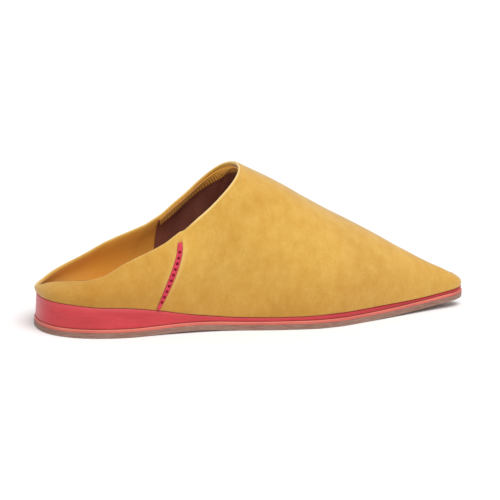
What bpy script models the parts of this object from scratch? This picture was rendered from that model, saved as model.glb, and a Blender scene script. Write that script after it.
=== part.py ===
"""A babouche slipper for the left foot: a pointed suede shoe with a low soft heel quarter, on a
painted wedge and a leather outsole, with a small metal charm hanging on its outer side.

Metres. +X runs to the toe, +Y to the outer side of the foot and +Z up. The origin lies on the
floor under the middle of the heel's flat spot.
"""

import math

import bmesh
import bpy
from mathutils import Vector

# Sole sizes
SHOE_LENGTH = 0.2696
HEEL_WIDTH = 0.0660
WAIST_WIDTH = 0.0605
BALL_WIDTH = 0.0735
TOE_POINT_WIDTH = 0.0108
HEEL_ROUND = 0.0478
TOE_ROUND = 0.0100
HEEL_SPOT_AT = 0.0300
OUTSOLE_THICKNESS = 0.0051
EDGE_LINE_HEIGHT = 0.0033
EDGE_LINE_DEPTH = 0.00025
EDGE_ROUND = 0.0005
TOE_SPRING = 0.0052
ARCH_RISE = 0.0010
HEEL_SEAT_HEIGHT = 0.0192
RAND_HEIGHT = 0.0006
LEDGE = 0.0007
WEDGE_FLARE = 0.0003

# Upper sizes
UPPER_WALL = 0.0020
BACK_AT = -0.0006
BACK_RISE = 0.0056
SEAM_FOOT_AT = 0.0638
SEAM_TOP_AT = 0.0812
COLLAR_WIDTH = 0.0466
COLLAR_LIP = 0.0006
THROAT_FOOT_AT = 0.1237
THROAT_AT = 0.1191
THROAT_RISE = 0.0862
NOSE_SETBACK = 0.0070
NOSE_RISE = 0.0091
SIDE_SWELL = 0.0045

# Trim sizes
INSOLE_THICKNESS = 0.0015
SEAM_WIDTH = 0.0048
SEAM_GROOVE = 0.0009
SEAM_LIP = 0.0005
SEAM_STRIP_THICKNESS = 0.0008
FACING_THICKNESS = 0.0009
FACING_GAP = 0.0007

# Charm sizes, measured down from the middle of the stud
STUD_DIAMETER = 0.0070
STUD_RIM_HEIGHT = 0.0019
STUD_DOME_HEIGHT = 0.0013
STUD_BEVEL = 0.0003
EYE_RADIUS = 0.0011
EYE_WIRE = 0.0006
CHAIN_LENGTH = 0.0132
CHAIN_WIRE = 0.0005
CHAIN_BEAD = 0.0013
CHAIN_BEADS = 6
CHAIN_LOOP_WIDTH = 0.0010
RING_RADIUS = 0.0021
RING_WIRE = 0.0010
LINK_WIRE = 0.0005
BAIL_WIDTH = 0.0046
BAIL_HEIGHT = 0.0054
BAIL_WIRE = 0.0008
ARROW_NECK = 0.0010
ARROW_WIDTH = 0.0110
ARROW_LENGTH = 0.0152
ARROW_THICKNESS = 0.0015
ARROW_RECESS = 0.0005
CHARM_UP_SHARE = 0.675
CHARM_AT = 0.0922
CHARM_STAND_OFF = 0.0018

# Clearance between pieces that are glued or stitched together, and between the charm's loops
FIT_GAP = 0.0003
LOOP_GAP = 0.00025

# Charm's lesser shapes: the stud's lip beside its rim, the eye's wire sunk in the stud, the wall's
# height at which the charm's plane is set, and the link's slack beside a loop's gap
STUD_LIP_SHARE = 0.9
EYE_SINK_SHARE = 0.25
SIDE_UP_SHARE = 0.35
LINK_SLACK_SHARE = 1.4

# Shares of the way round a half outline that the heel's and the toe's rounds take
HEEL_SHARE = 0.20
TOE_SHARE = 0.07

# Outsole's edge: how open the scored line is for its depth, and its head's round beside its foot's
EDGE_LINE_OPEN_SHARE = 0.6
EDGE_HEAD_SHARE = 0.6

# Share of the way from the side seam's top back to the heel over which the wedge flares out fully
FLARE_FULL_SHARE = 0.33

# Band turned in under the collar: how far from the seam it starts, as a share of the way to the
# throat, and how far its upper edge is set back from the collar, as a share of its width
FACING_START_SHARE = 0.08
FACING_SETBACK_SHARE = 0.10

# How square the rounds are, and how far a wall's inner corner is drawn back from a pointed toe
HEEL_SQUARENESS = 0.86
TOE_SQUARENESS = 2.6
POINT_DRAW_SHARE = 3.0

# Where the underside leaves the floor, as shares of the length
ARCH_FROM_SHARE = 0.19
ARCH_TO_SHARE = 0.45
SPRING_FROM_SHARE = 0.68

# Shares of the way from the back to the side seam's top that the collar's round and its bend take
RIM_BACK_SHARE = 0.64
RIM_ROUND_SHARE = 0.46
RIM_SQUARENESS = 0.72
THROAT_SQUARENESS = 5

# How the stations bunch up along the collar and the ridge, and how deep the ridge's wall looks
COLLAR_BUNCHING_SHARE = 0.5
RIDGE_BUNCHING_SHARE = 0.08
RIDGE_DEPTH_SHARE = 1.12

# Shares of the wall's height that its foot and its top edge run straight for, and its least swell
LEAST_SWELL_SHARE = 0.35
FOOT_PULL_SHARE = 0.55
EDGE_PULL_SHARE = 0.25

# Side seam: shares of the wall's height, its least width and how full its lens is
SEAM_CLOSE_SHARE = 0.90
STRIP_FOOT_SHARE = 0.008
STRIP_TOP_SHARE = 0.82
SEAM_LEAST_SHARE = 0.36
SEAM_SQUARENESS = 0.8
SEAM_ROUND_SHARE = 1.1
SEAM_EASE_SHARE = 2.6
SEAM_CLEAR_SHARE = 0.35

# Shares of the way round: the seams' bows, and how far back the outer one stands at foot and top
INNER_BOW_SHARE = 0.0170
INNER_LEAN_SHARE = 0.0166
LEAN_SETTLING = 8
OUTER_BOW_SHARE = 0.007
OUTER_SEAM_SHARE = 0.009
OUTER_LEAN_SHARE = 0.014
SHIFT_FROM_SHARE = 0.12

# Half outline ahead of the heel's round: share of the length, inner and outer half width
OUTLINE_ROWS = (
    (HEEL_ROUND / SHOE_LENGTH, 0.500 * HEEL_WIDTH, 0.500 * HEEL_WIDTH),
    (0.270, 0.466 * HEEL_WIDTH, 0.471 * HEEL_WIDTH),
    (0.370, 0.496 * WAIST_WIDTH, 0.508 * WAIST_WIDTH),
    (0.520, 0.480 * BALL_WIDTH, 0.482 * BALL_WIDTH),
    (0.595, 0.500 * BALL_WIDTH, 0.500 * BALL_WIDTH),
    (0.650, 0.476 * BALL_WIDTH, 0.478 * BALL_WIDTH),
    (0.716, 0.400 * BALL_WIDTH, 0.404 * BALL_WIDTH),
    (0.900, 0.178 * BALL_WIDTH, 0.178 * BALL_WIDTH),
    (1.000, 0.500 * TOE_POINT_WIDTH, 0.500 * TOE_POINT_WIDTH),
)

# One bead of the chain: share of its pitch, and radius as a share of its diameter
BEAD_ROWS = (
    (0.00, 0.30),
    (0.25, 0.44),
    (0.50, 0.50),
    (0.75, 0.44),
)

# Half arrowhead from its neck to its tip: shares of the half width and of the length, first of its
# edge and then of the recess in its front
ARROW_ROWS = (
    (0.00, -0.08, 0.00, 0.17),
    (0.20, -0.08, 0.08, 0.17),
    (0.26, 0.07, 0.26, 0.19),
    (0.72, -0.01, 0.52, 0.16),
    (1.00, 0.00, 0.68, 0.17),
    (0.98, 0.06, 0.66, 0.22),
    (0.20, 0.97, 0.10, 0.74),
    (0.00, 1.00, 0.00, 0.78),
)

# Wedge: share of the length, share of the heel seat's height above the rand
WEDGE_ROWS = (
    (0.000, 1.000),
    (0.050, 0.967),
    (0.100, 0.893),
    (0.160, 0.844),
    (0.235, 0.652),
    (0.290, 0.452),
    (0.350, 0.274),
    (0.420, 0.148),
    (0.500, 0.119),
    (0.570, 0.126),
    (0.640, 0.165),
    (0.750, 0.154),
    (0.900, 0.075),
    (1.000, 0.089),
)

# Wedge's side: share of its height, and how much of the flare it keeps there
FLARE_ROWS = (
    (0.00, 1.00),
    (0.12, 0.80),
    (0.50, 0.30),
    (0.86, 0.00),
    (1.00, -0.25),
)

# Collar from the back to the side seam: share of the way to the seam's top, half width as a share
# of the collar's, and the rise of the outer and of the softer inner side as shares of the way from
# the back's to the throat's
RIM_ROWS = (
    (0.00, 1.120, 0.000, 0.000),
    (0.03, 1.120, 0.006, 0.027),
    (0.06, 1.120, 0.010, 0.048),
    (0.10, 1.120, 0.021, 0.065),
    (0.20, 1.120, 0.058, 0.089),
    (0.30, 1.120, 0.098, 0.109),
    (0.42, 1.120, 0.150, 0.150),
    (0.55, 1.120, 0.225, 0.231),
    (0.68, 1.075, 0.302, 0.301),
    (0.81, 1.040, 0.376, 0.376),
    (0.91, 1.010, 0.443, 0.451),
    (0.95, 1.005, 0.479, 0.496),
    (1.00, 1.000, 0.520, 0.520),
)

# Collar from the seam to the throat: share of the way, and rise as above
THROAT_ROWS = (
    (0.00, 0.520),
    (0.20, 0.617),
    (0.39, 0.704),
    (0.66, 0.841),
    (0.87, 0.942),
    (1.00, 1.000),
)

# The band's lower edge: share of the way from the seam to the throat, how far forwards it lies as a
# share of the way round, and how far down as a share of the wall, inner and outer side
BAND_ROWS = (
    (0.00, 0.0130, 0.270, 0.280),
    (0.10, 0.0165, 0.225, 0.275),
    (0.20, 0.0200, 0.212, 0.235),
    (0.30, 0.0265, 0.206, 0.212),
    (0.40, 0.0370, 0.204, 0.203),
    (0.50, 0.0510, 0.205, 0.204),
    (0.60, 0.0670, 0.205, 0.212),
    (0.70, 0.0660, 0.170, 0.190),
    (0.80, 0.0530, 0.108, 0.120),
    (0.90, 0.0360, 0.050, 0.055),
    (1.00, 0.0175, 0.000, 0.000),
)

# Ridge of the vamp: share of the way from the throat to the nose, and rise as a share of the way
# from the nose's to the throat's
RIDGE_ROWS = (
    (0.00, 1.000),
    (0.15, 0.874),
    (0.36, 0.649),
    (0.57, 0.448),
    (0.78, 0.228),
    (0.92, 0.074),
    (1.00, 0.000),
)


def curve_through(rows, column):
    """A function that reads one column of a table, on a curve that never overshoots its rows."""
    places = [row[0] for row in rows]
    values = [row[column] for row in rows]
    steps = [after - before for before, after in zip(places, places[1:])]
    rates = [(after - before) / step for before, after, step in zip(values, values[1:], steps)]
    slopes = [rates[0]]
    for before, after in zip(rates, rates[1:]):
        slopes.append(2 * before * after / (before + after) if before * after > 0 else 0.0)
    slopes.append(rates[-1])

    def read(place):
        place = min(max(place, places[0]), places[-1])
        last = len(steps) - 1
        index = next((i for i in range(last) if place < places[i + 1]), last)
        step = steps[index]
        t = (place - places[index]) / step
        start = (2 * t**3 - 3 * t**2 + 1) * values[index] + (t**3 - 2 * t**2 + t) * step * slopes[index]
        end = (3 * t**2 - 2 * t**3) * values[index + 1] + (t**3 - t**2) * step * slopes[index + 1]
        return start + end

    return read


def share_of_place(place):
    """The share of the way round at which the outline passes a place along the shoe's side."""
    side_length = SHOE_LENGTH - TOE_ROUND - HEEL_ROUND
    return HEEL_SHARE + (1 - HEEL_SHARE - TOE_SHARE) * (place - HEEL_ROUND) / side_length


SEAM_SHARE = share_of_place(SEAM_FOOT_AT)
THROAT_SHARE = share_of_place(THROAT_FOOT_AT)

# The wall's upper edge: share of the way round, lean inwards in degrees of the softer inner and of
# the outer side, and fullness
CROWN_ROWS = (
    (0.0, 36.0, 36.0, 0.50),
    (0.5 * HEEL_SHARE, 50.0, 22.0, 0.55),
    (HEEL_SHARE, 34.0, 14.0, 0.55),
    (SEAM_SHARE, 17.0, 14.0, 0.56),
    (0.60 * SEAM_SHARE + 0.40 * THROAT_SHARE, 32.0, 32.0, 0.66),
    (0.20 * SEAM_SHARE + 0.80 * THROAT_SHARE, 66.0, 66.0, 0.72),
    (THROAT_SHARE, 90.0, 90.0, 0.73),
    (0.5 + 0.5 * THROAT_SHARE, 90.0, 90.0, 0.62),
    (1 - TOE_SHARE, 90.0, 90.0, 0.56),
    (1.0, 60.0, 60.0, 0.42),
)

half_width_readers = {-1: curve_through(OUTLINE_ROWS, 1), 1: curve_through(OUTLINE_ROWS, 2)}
wedge_share = curve_through(WEDGE_ROWS, 1)
rim_half_width = curve_through(RIM_ROWS, 1)
rim_rises = {-1: curve_through(RIM_ROWS, 3), 1: curve_through(RIM_ROWS, 2)}
throat_rise = curve_through(THROAT_ROWS, 1)
ridge_rise = curve_through(RIDGE_ROWS, 1)
band_forward = curve_through(BAND_ROWS, 1)
band_drops = {-1: curve_through(BAND_ROWS, 2), 1: curve_through(BAND_ROWS, 3)}
crown_leans = {-1: curve_through(CROWN_ROWS, 1), 1: curve_through(CROWN_ROWS, 2)}
crown_fullness = curve_through(CROWN_ROWS, 3)


def spread(start, end, count):
    """That many evenly spaced values, the end left out."""
    return [start + (end - start) * i / count for i in range(count)]


def outline_point(share, side, inset, depth=0.0):
    """A point of the plan, from the heel's back (share 0) round one side to the toe (share 1)."""
    moved = inset + depth
    tip = SHOE_LENGTH - inset - POINT_DRAW_SHARE * depth
    if share <= HEEL_SHARE:
        turn = 0.5 * math.pi * share / HEEL_SHARE
        x = HEEL_ROUND - (HEEL_ROUND - moved) * math.cos(turn) ** HEEL_SQUARENESS
        return x, side * (0.5 * HEEL_WIDTH - moved) * math.sin(turn) ** HEEL_SQUARENESS
    round_from = tip - TOE_ROUND
    side_share = min((share - HEEL_SHARE) / (1 - HEEL_SHARE - TOE_SHARE), 1.0)
    turn = 0.5 * math.pi * max(share - 1 + TOE_SHARE, 0.0) / TOE_SHARE
    x = HEEL_ROUND + (round_from - HEEL_ROUND) * side_share + TOE_ROUND * math.sin(turn)
    rounding = max(1 - math.sin(turn) ** TOE_SQUARENESS, 0.0) ** 0.5
    return x, side * (half_width_readers[side](x / SHOE_LENGTH) - moved) * rounding


def spring_height(x):
    """How far the toe spring lifts the sole."""
    return TOE_SPRING * (max(x / SHOE_LENGTH - SPRING_FROM_SHARE, 0.0) / (1 - SPRING_FROM_SHARE)) ** 2


def underside_height(x):
    """Height of the outsole's underside: flat at heel and forefoot, up at the arch and the toe."""
    arch_share = (x / SHOE_LENGTH - ARCH_FROM_SHARE) / (ARCH_TO_SHARE - ARCH_FROM_SHARE)
    arch = math.sin(math.pi * min(max(arch_share, 0.0), 1.0)) ** 2
    return spring_height(x) + ARCH_RISE * arch


def seat_height(x):
    """Height of the wedge's top, on which the upper and the insole stand."""
    rand = OUTSOLE_THICKNESS + RAND_HEIGHT
    return spring_height(x) + rand + (HEEL_SEAT_HEIGHT - rand) * wedge_share(x / SHOE_LENGTH)


def ledge_inset(x):
    """How far the wedge's top edge stands back from the outsole's edge."""
    heel = max(1 - x / SEAM_TOP_AT, 0.0)
    return LEDGE + WEDGE_FLARE * min(heel / FLARE_FULL_SHARE, 1.0) ** 2


def outward(share, side):
    """The plan direction in which the wall faces."""
    if share <= HEEL_SHARE:
        turn = 0.5 * math.pi * share / HEEL_SHARE
        return Vector((-math.cos(turn), side * math.sin(turn), 0))
    turn = 0.5 * math.pi * max(share - 1 + TOE_SHARE, 0.0) / TOE_SHARE
    return Vector((math.sin(turn), side * math.cos(turn), 0))


def crown_point(share, side, depth):
    """The upper's top edge: the collar from the back to the throat, then the ridge to the nose."""
    reach = THROAT_RISE - BACK_RISE
    lean = math.radians(crown_leans[side](share))
    if share <= SEAM_SHARE:
        if share <= HEEL_SHARE:
            turn = 0.5 * math.pi * share / HEEL_SHARE
            along = RIM_BACK_SHARE * (1 - math.cos(turn))
        else:
            on_side = (share - HEEL_SHARE) / (SEAM_SHARE - HEEL_SHARE)
            along = RIM_BACK_SHARE + (1 - RIM_BACK_SHARE) * on_side
        x = BACK_AT + (SEAM_TOP_AT - BACK_AT) * along
        rounding = max(1 - along / RIM_ROUND_SHARE, 0.0)
        y = 0.5 * COLLAR_WIDTH * rim_half_width(along) * (1 - rounding**2) ** RIM_SQUARENESS
        rise = BACK_RISE + reach * rim_rises[side](along)
    elif share <= THROAT_SHARE:
        way = (share - SEAM_SHARE) / (THROAT_SHARE - SEAM_SHARE)
        way *= 1 + COLLAR_BUNCHING_SHARE * (1 - way)
        along = math.sin(0.5 * math.pi * way)
        x = SEAM_TOP_AT + (THROAT_AT - SEAM_TOP_AT) * along
        y = 0.5 * COLLAR_WIDTH * max(1 - along**THROAT_SQUARENESS, 0.0) ** 0.5
        rise = BACK_RISE + reach * throat_rise(along)
    else:
        way = (share - THROAT_SHARE) / (1 - THROAT_SHARE)
        nose = SHOE_LENGTH - NOSE_SETBACK
        inner_nose = nose - POINT_DRAW_SHARE * depth
        x = THROAT_AT + (inner_nose - THROAT_AT) * way * (1 + RIDGE_BUNCHING_SHARE * (1 - way))
        y = 0.0
        rise = NOSE_RISE + (THROAT_RISE - NOSE_RISE) * ridge_rise((x - THROAT_AT) / (nose - THROAT_AT))
    edge = Vector((x, side * y, seat_height(x) + rise))
    facing = outward(share, side) * math.cos(lean) + Vector((0, 0, RIDGE_DEPTH_SHARE * math.sin(lean)))
    return edge - depth * facing


def wall_section(share, side, depth=0.0):
    """Four points of the curve that the wall follows from the wedge to its top edge."""
    out = outward(share, side)
    up = Vector((0, 0, 1))
    x, y = outline_point(share, side, LEDGE, depth)
    inset = ledge_inset(x) - LEDGE
    foot = Vector((x, y, seat_height(x) + FIT_GAP)) - inset * out
    crown = crown_point(share, side, depth)
    height = crown.z - foot.z
    width = max((foot - crown).dot(out), 0.0)
    lean = math.radians(crown_leans[side](share))
    swell = SIDE_SWELL * (LEAST_SWELL_SHARE + (1 - LEAST_SWELL_SHARE) * height / THROAT_RISE)
    foot_pull = FOOT_PULL_SHARE * height * up + swell * out
    crown_length = crown_fullness(share) * width * math.sin(lean) + EDGE_PULL_SHARE * height * math.cos(lean)
    crown_pull = crown_length * (out * math.sin(lean) - up * math.cos(lean))
    fan = crown - foot
    fan.z = 0.0
    fan = (fan - fan.dot(out) * out) / 3
    return foot, foot + foot_pull + fan, crown + crown_pull - fan, crown


def along_section(section, up_share):
    """The point a share of the way up a wall section."""
    a, b, c, d = section
    t = up_share
    return (1 - t) ** 3 * a + 3 * (1 - t) ** 2 * t * b + 3 * (1 - t) * t**2 * c + t**3 * d


def seam_shift(side, up_share):
    """How far a side seam stands ahead of its straight place, as a share of the way round."""
    bow = 4 * up_share * (1 - up_share)
    if side < 0:
        lean = up_share * (1 - up_share**LEAN_SETTLING)
        return INNER_BOW_SHARE * bow - INNER_LEAN_SHARE * lean
    return -(OUTER_SEAM_SHARE + OUTER_LEAN_SHARE * up_share + OUTER_BOW_SHARE * bow)


def wall_point(share, side, up_share, depth=0.0):
    """A point of the wall, its stations shifted near the side seam to follow the seam's own line."""
    if SHIFT_FROM_SHARE < share < THROAT_SHARE:
        rising = (share - SHIFT_FROM_SHARE) / (SEAM_SHARE - SHIFT_FROM_SHARE)
        falling = (THROAT_SHARE - share) / (THROAT_SHARE - SEAM_SHARE)
        share += seam_shift(side, up_share) * min(rising, falling)
    return along_section(wall_section(share, side, depth), up_share)


def wall_frame(share, side, up_share):
    """Unit normal of the outer face there, and how far a point moves for a unit of share."""
    step = 0.002
    before = wall_point(share - step, side, up_share)
    after = wall_point(share + step, side, up_share)
    lower = wall_point(share, side, up_share - step)
    upper = wall_point(share, side, up_share + step)
    along = after - before
    normal = along.cross(upper - lower).normalized()
    return normal * -side, along.length / (2 * step)


def seam_half_width(up_share):
    """The side seam is a narrow lens: it opens above the wedge and closes under the collar."""
    lens = math.sin(math.pi * min(max(up_share / SEAM_CLOSE_SHARE, 0.0), 1.0)) ** SEAM_SQUARENESS
    return 0.5 * SEAM_WIDTH * (SEAM_LEAST_SHARE + (1 - SEAM_LEAST_SHARE) * lens), lens


def seam_point(side, up_share, offset, relief):
    """A point beside the seam's middle line, offset metres towards the toe and raised by relief."""
    normal, scale = wall_frame(SEAM_SHARE, side, up_share)
    share = SEAM_SHARE + offset / scale
    return wall_point(share, side, up_share) + relief * normal


def linked_object(name, points, faces, material, origin=Vector((0, 0, 0))):
    mesh = bpy.data.meshes.new(name)
    mesh.from_pydata([tuple(point - origin) for point in points], [], faces)
    shell = bmesh.new()
    shell.from_mesh(mesh)
    bmesh.ops.recalc_face_normals(shell, faces=shell.faces)
    shell.to_mesh(mesh)
    shell.free()
    mesh.shade_smooth()
    mesh.set_sharp_from_angle(angle=math.radians(35))
    mesh.materials.append(material)
    made = bpy.data.objects.new(name, mesh)
    made.location = origin - Vector((HEEL_SPOT_AT, 0, 0))
    bpy.context.collection.objects.link(made)
    return made


def painted(name, colour, roughness, metallic=0.0):
    material = bpy.data.materials.new(name)
    material.use_nodes = True
    shader = material.node_tree.nodes["Principled BSDF"]
    shader.inputs["Base Color"].default_value = (*colour, 1.0)
    shader.inputs["Roughness"].default_value = roughness
    shader.inputs["Metallic"].default_value = metallic
    return material


def round_stations():
    """(share, side) all the way round the sole: inner side to the toe, outer side back."""
    shares = spread(0.0, HEEL_SHARE, 9) + spread(HEEL_SHARE, 1 - TOE_SHARE, 20)
    shares += spread(1 - TOE_SHARE, 1.0, 5)
    there = [(share, -1) for share in shares]
    back = [(share, 1) for share in reversed(shares[1:])]
    return there + [(1.0, -1)] + back


def layered_solid(name, layers, material):
    """A closed solid through loops of points, its ends closed by strips across the shoe."""
    count = len(layers[0])
    points = [point for layer in layers for point in layer]
    faces = []
    for level in range(len(layers) - 1):
        for i in range(count):
            j = (i + 1) % count
            low, high = level * count, (level + 1) * count
            faces.append((low + i, low + j, high + j, high + i))
    for base in (0, (len(layers) - 1) * count):
        for i in range(count // 2):
            strip = [base + i, base + i + 1, base + count - i - 1, base + (count - i) % count]
            faces.append(tuple(dict.fromkeys(strip)))
    return linked_object(name, points, faces, material)


def sole_layer(inset, height_above, depth=0.0):
    """A loop of points at an inset from the outline and a height given as a function of x."""
    points = []
    for share, side in round_stations():
        x, y = outline_point(share, side, inset, depth)
        points.append(Vector((x, y, height_above(x))))
    return points


def build_outsole():
    """Leather sole: its edge has a rounded foot and head, and a scored line under the painted top."""
    groove = EDGE_LINE_OPEN_SHARE * EDGE_LINE_DEPTH
    profile = (
        (EDGE_ROUND, 0.0),
        (0.0, EDGE_ROUND),
        (0.0, EDGE_LINE_HEIGHT - groove),
        (EDGE_LINE_DEPTH, EDGE_LINE_HEIGHT),
        (0.0, EDGE_LINE_HEIGHT + groove),
        (0.0, OUTSOLE_THICKNESS - EDGE_ROUND),
        (EDGE_HEAD_SHARE * EDGE_ROUND, OUTSOLE_THICKNESS),
    )
    layers = [
        sole_layer(inset, lambda x, above=above: underside_height(x) + above) for inset, above in profile
    ]
    leather = painted("outsole_leather", (0.36, 0.16, 0.11), 0.55)
    return layered_solid("outsole", layers, leather)


def build_midsole():
    """Painted wedge between the outsole and the upper, its side hollowed a little at the heel."""
    def bottom(x):
        return underside_height(x) + OUTSOLE_THICKNESS + FIT_GAP

    layers = []
    for up_share, flare in FLARE_ROWS:
        layer = []
        for share, side in round_stations():
            x, y = outline_point(share, side, LEDGE)
            out = outward(share, side)
            back = (ledge_inset(x) - LEDGE) * (1 - flare)
            z = bottom(x) + up_share * (seat_height(x) - bottom(x))
            layer.append(Vector((x, y, z)) - back * out)
        layers.append(layer)
    return layered_solid("midsole", layers, painted("red_edge_paint", (0.62, 0.055, 0.06), 0.35))


def build_insole():
    clearance = UPPER_WALL + FIT_GAP + WEDGE_FLARE
    low = sole_layer(LEDGE, lambda x: seat_height(x) + FIT_GAP, clearance)
    high = sole_layer(LEDGE, lambda x: seat_height(x) + FIT_GAP + INSOLE_THICKNESS, clearance)
    return layered_solid("insole", [low, high], painted("footbed_leather", (0.55, 0.28, 0.07), 0.6))


def upper_columns():
    """(share, offset from the seam or None, relief) down one side of the upper."""
    near_seam = SEAM_CLEAR_SHARE * (SEAM_SHARE - HEEL_SHARE)
    columns = [(share, None, 0.0) for share in spread(0.0, SEAM_SHARE - near_seam, 11)]
    columns += [
        (SEAM_SHARE - near_seam, None, 0.0),
        (SEAM_SHARE, -SEAM_ROUND_SHARE, 0.0),
        (SEAM_SHARE, -1.0, -SEAM_GROOVE),
        (SEAM_SHARE, 1.0, -SEAM_GROOVE),
        (SEAM_SHARE, SEAM_ROUND_SHARE, SEAM_LIP),
        (SEAM_SHARE, SEAM_EASE_SHARE, 0.0),
    ]
    columns += [(share, None, 0.0) for share in spread(SEAM_SHARE + near_seam, THROAT_SHARE, 10)]
    columns += [(share, None, 0.0) for share in spread(THROAT_SHARE, 1 - TOE_SHARE, 14)]
    columns += [(share, None, 0.0) for share in spread(1 - TOE_SHARE, 1.0, 5)]
    return columns + [(1.0, None, 0.0)]


def outer_point(column, side, up_share):
    share, offset, relief = column
    if offset is None:
        return wall_point(share, side, up_share)
    half_width, lens = seam_half_width(up_share)
    return seam_point(side, up_share, offset * half_width, relief * lens)


def inner_point(column, side, up_share):
    share, offset, _ = column
    if offset is not None:
        half_width, _ = seam_half_width(up_share)
        _, scale = wall_frame(SEAM_SHARE, side, up_share)
        share += offset * half_width / scale
    return wall_point(share, side, up_share, UPPER_WALL)


def build_upper():
    """The hollow suede upper: an outer and an inner skin joined round the collar and underneath."""
    rows = 12
    side_columns = upper_columns()
    loop = [(column, -1) for column in side_columns]
    loop += [(column, 1) for column in reversed(side_columns[1:-1])]
    count = len(loop)
    points = []
    skins = []
    for point_of in (outer_point, inner_point):
        grid = {}
        for i, (column, side) in enumerate(loop):
            for j in range(rows + 1):
                twin = (count - i) % count
                if j == rows and column[0] >= THROAT_SHARE and twin < i:
                    grid[i, j] = grid[twin, j]
                    continue
                grid[i, j] = len(points)
                points.append(point_of(column, side, j / rows))
        skins.append(grid)
    outer, inner = skins
    faces = []
    for i in range(count):
        k = (i + 1) % count
        for j in range(rows):
            for skin in skins:
                quad = (skin[i, j], skin[k, j], skin[k, j + 1], skin[i, j + 1])
                faces.append(tuple(dict.fromkeys(quad)))
        faces.append((outer[i, 0], outer[k, 0], inner[k, 0], inner[i, 0]))
    rim = {}
    collar = [i for i, (column, _) in enumerate(loop) if column[0] <= THROAT_SHARE]
    for i in collar:
        share, side = loop[i][0][0], loop[i][1]
        lean = math.radians(crown_leans[side](share))
        on_edge = 0.5 * (points[outer[i, rows]] + points[inner[i, rows]])
        lift = Vector((0, 0, math.cos(lean))) - outward(share, side) * math.sin(lean)
        if share == THROAT_SHARE:
            lift = Vector((-1, 0, 0))
        if share == THROAT_SHARE and side > 0:
            rim[i] = rim[count - i]
            continue
        rim[i] = len(points)
        points.append(on_edge + COLLAR_LIP * lift)
    for i in range(count):
        k = (i + 1) % count
        if i in rim and k in rim:
            faces.append((outer[i, rows], outer[k, rows], rim[k], rim[i]))
            faces.append((rim[i], rim[k], inner[k, rows], inner[i, rows]))
    return linked_object("upper", points, faces, painted("mustard_suede", (0.70, 0.37, 0.07), 0.95))


def build_seam_strip(name, side):
    """A thin lens of red leather lying in the seam's groove."""
    rows = 12
    outer_relief = SEAM_STRIP_THICKNESS + FIT_GAP - SEAM_GROOVE
    inner_relief = FIT_GAP - SEAM_GROOVE
    layers = []
    for i in range(rows + 1):
        up_share = STRIP_FOOT_SHARE + (STRIP_TOP_SHARE - STRIP_FOOT_SHARE) * i / rows
        half_width, lens = seam_half_width(up_share)
        half_strip = half_width - FIT_GAP
        floor = inner_relief + (1 - lens) * SEAM_GROOVE
        layers.append([
            seam_point(side, up_share, -half_strip, floor),
            seam_point(side, up_share, half_strip, floor),
            seam_point(side, up_share, half_strip, floor + SEAM_STRIP_THICKNESS),
            seam_point(side, up_share, -half_strip, floor + SEAM_STRIP_THICKNESS),
        ])
    return layered_solid(name, layers, painted(name + "_paint", (0.62, 0.03, 0.08), 0.5))


def facing_point(share, side, across, depth):
    """A point of the band turned in under the collar, a share of its width away from the edge."""
    way = (share - SEAM_SHARE) / (THROAT_SHARE - SEAM_SHARE)
    drop = band_drops[side](way)
    return wall_point(share + across * band_forward(way), side, 1 - across * drop, depth)


def build_collar_facing():
    """Suede turned in under the collar of the vamp, from one side seam round to the other."""
    start = SEAM_SHARE + FACING_START_SHARE * (THROAT_SHARE - SEAM_SHARE)
    shares = spread(start, THROAT_SHARE, 22)
    loop = [(share, -1) for share in shares] + [(THROAT_SHARE, -1)]
    loop += [(share, 1) for share in reversed(shares)]
    near = UPPER_WALL + FACING_GAP
    far = near + FACING_THICKNESS
    points = []
    for share, side in loop:
        for across, depth in ((0.0, near), (0.5, near), (1.0, near), (1.0, far), (0.5, far), (0.0, far)):
            from_edge = FACING_SETBACK_SHARE + across * (1 - FACING_SETBACK_SHARE)
            points.append(facing_point(share, side, from_edge, depth))
    faces = []
    for i in range(len(loop) - 1):
        for j in range(6):
            k = (j + 1) % 6
            faces.append((6 * i + j, 6 * i + k, 6 * i + 6 + k, 6 * i + 6 + j))
    last = 6 * (len(loop) - 1)
    faces += [tuple(range(6)), tuple(range(last + 5, last - 1, -1))]
    return linked_object("collar_facing", points, faces, painted("turned_suede", (0.62, 0.30, 0.06), 0.95))


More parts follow.
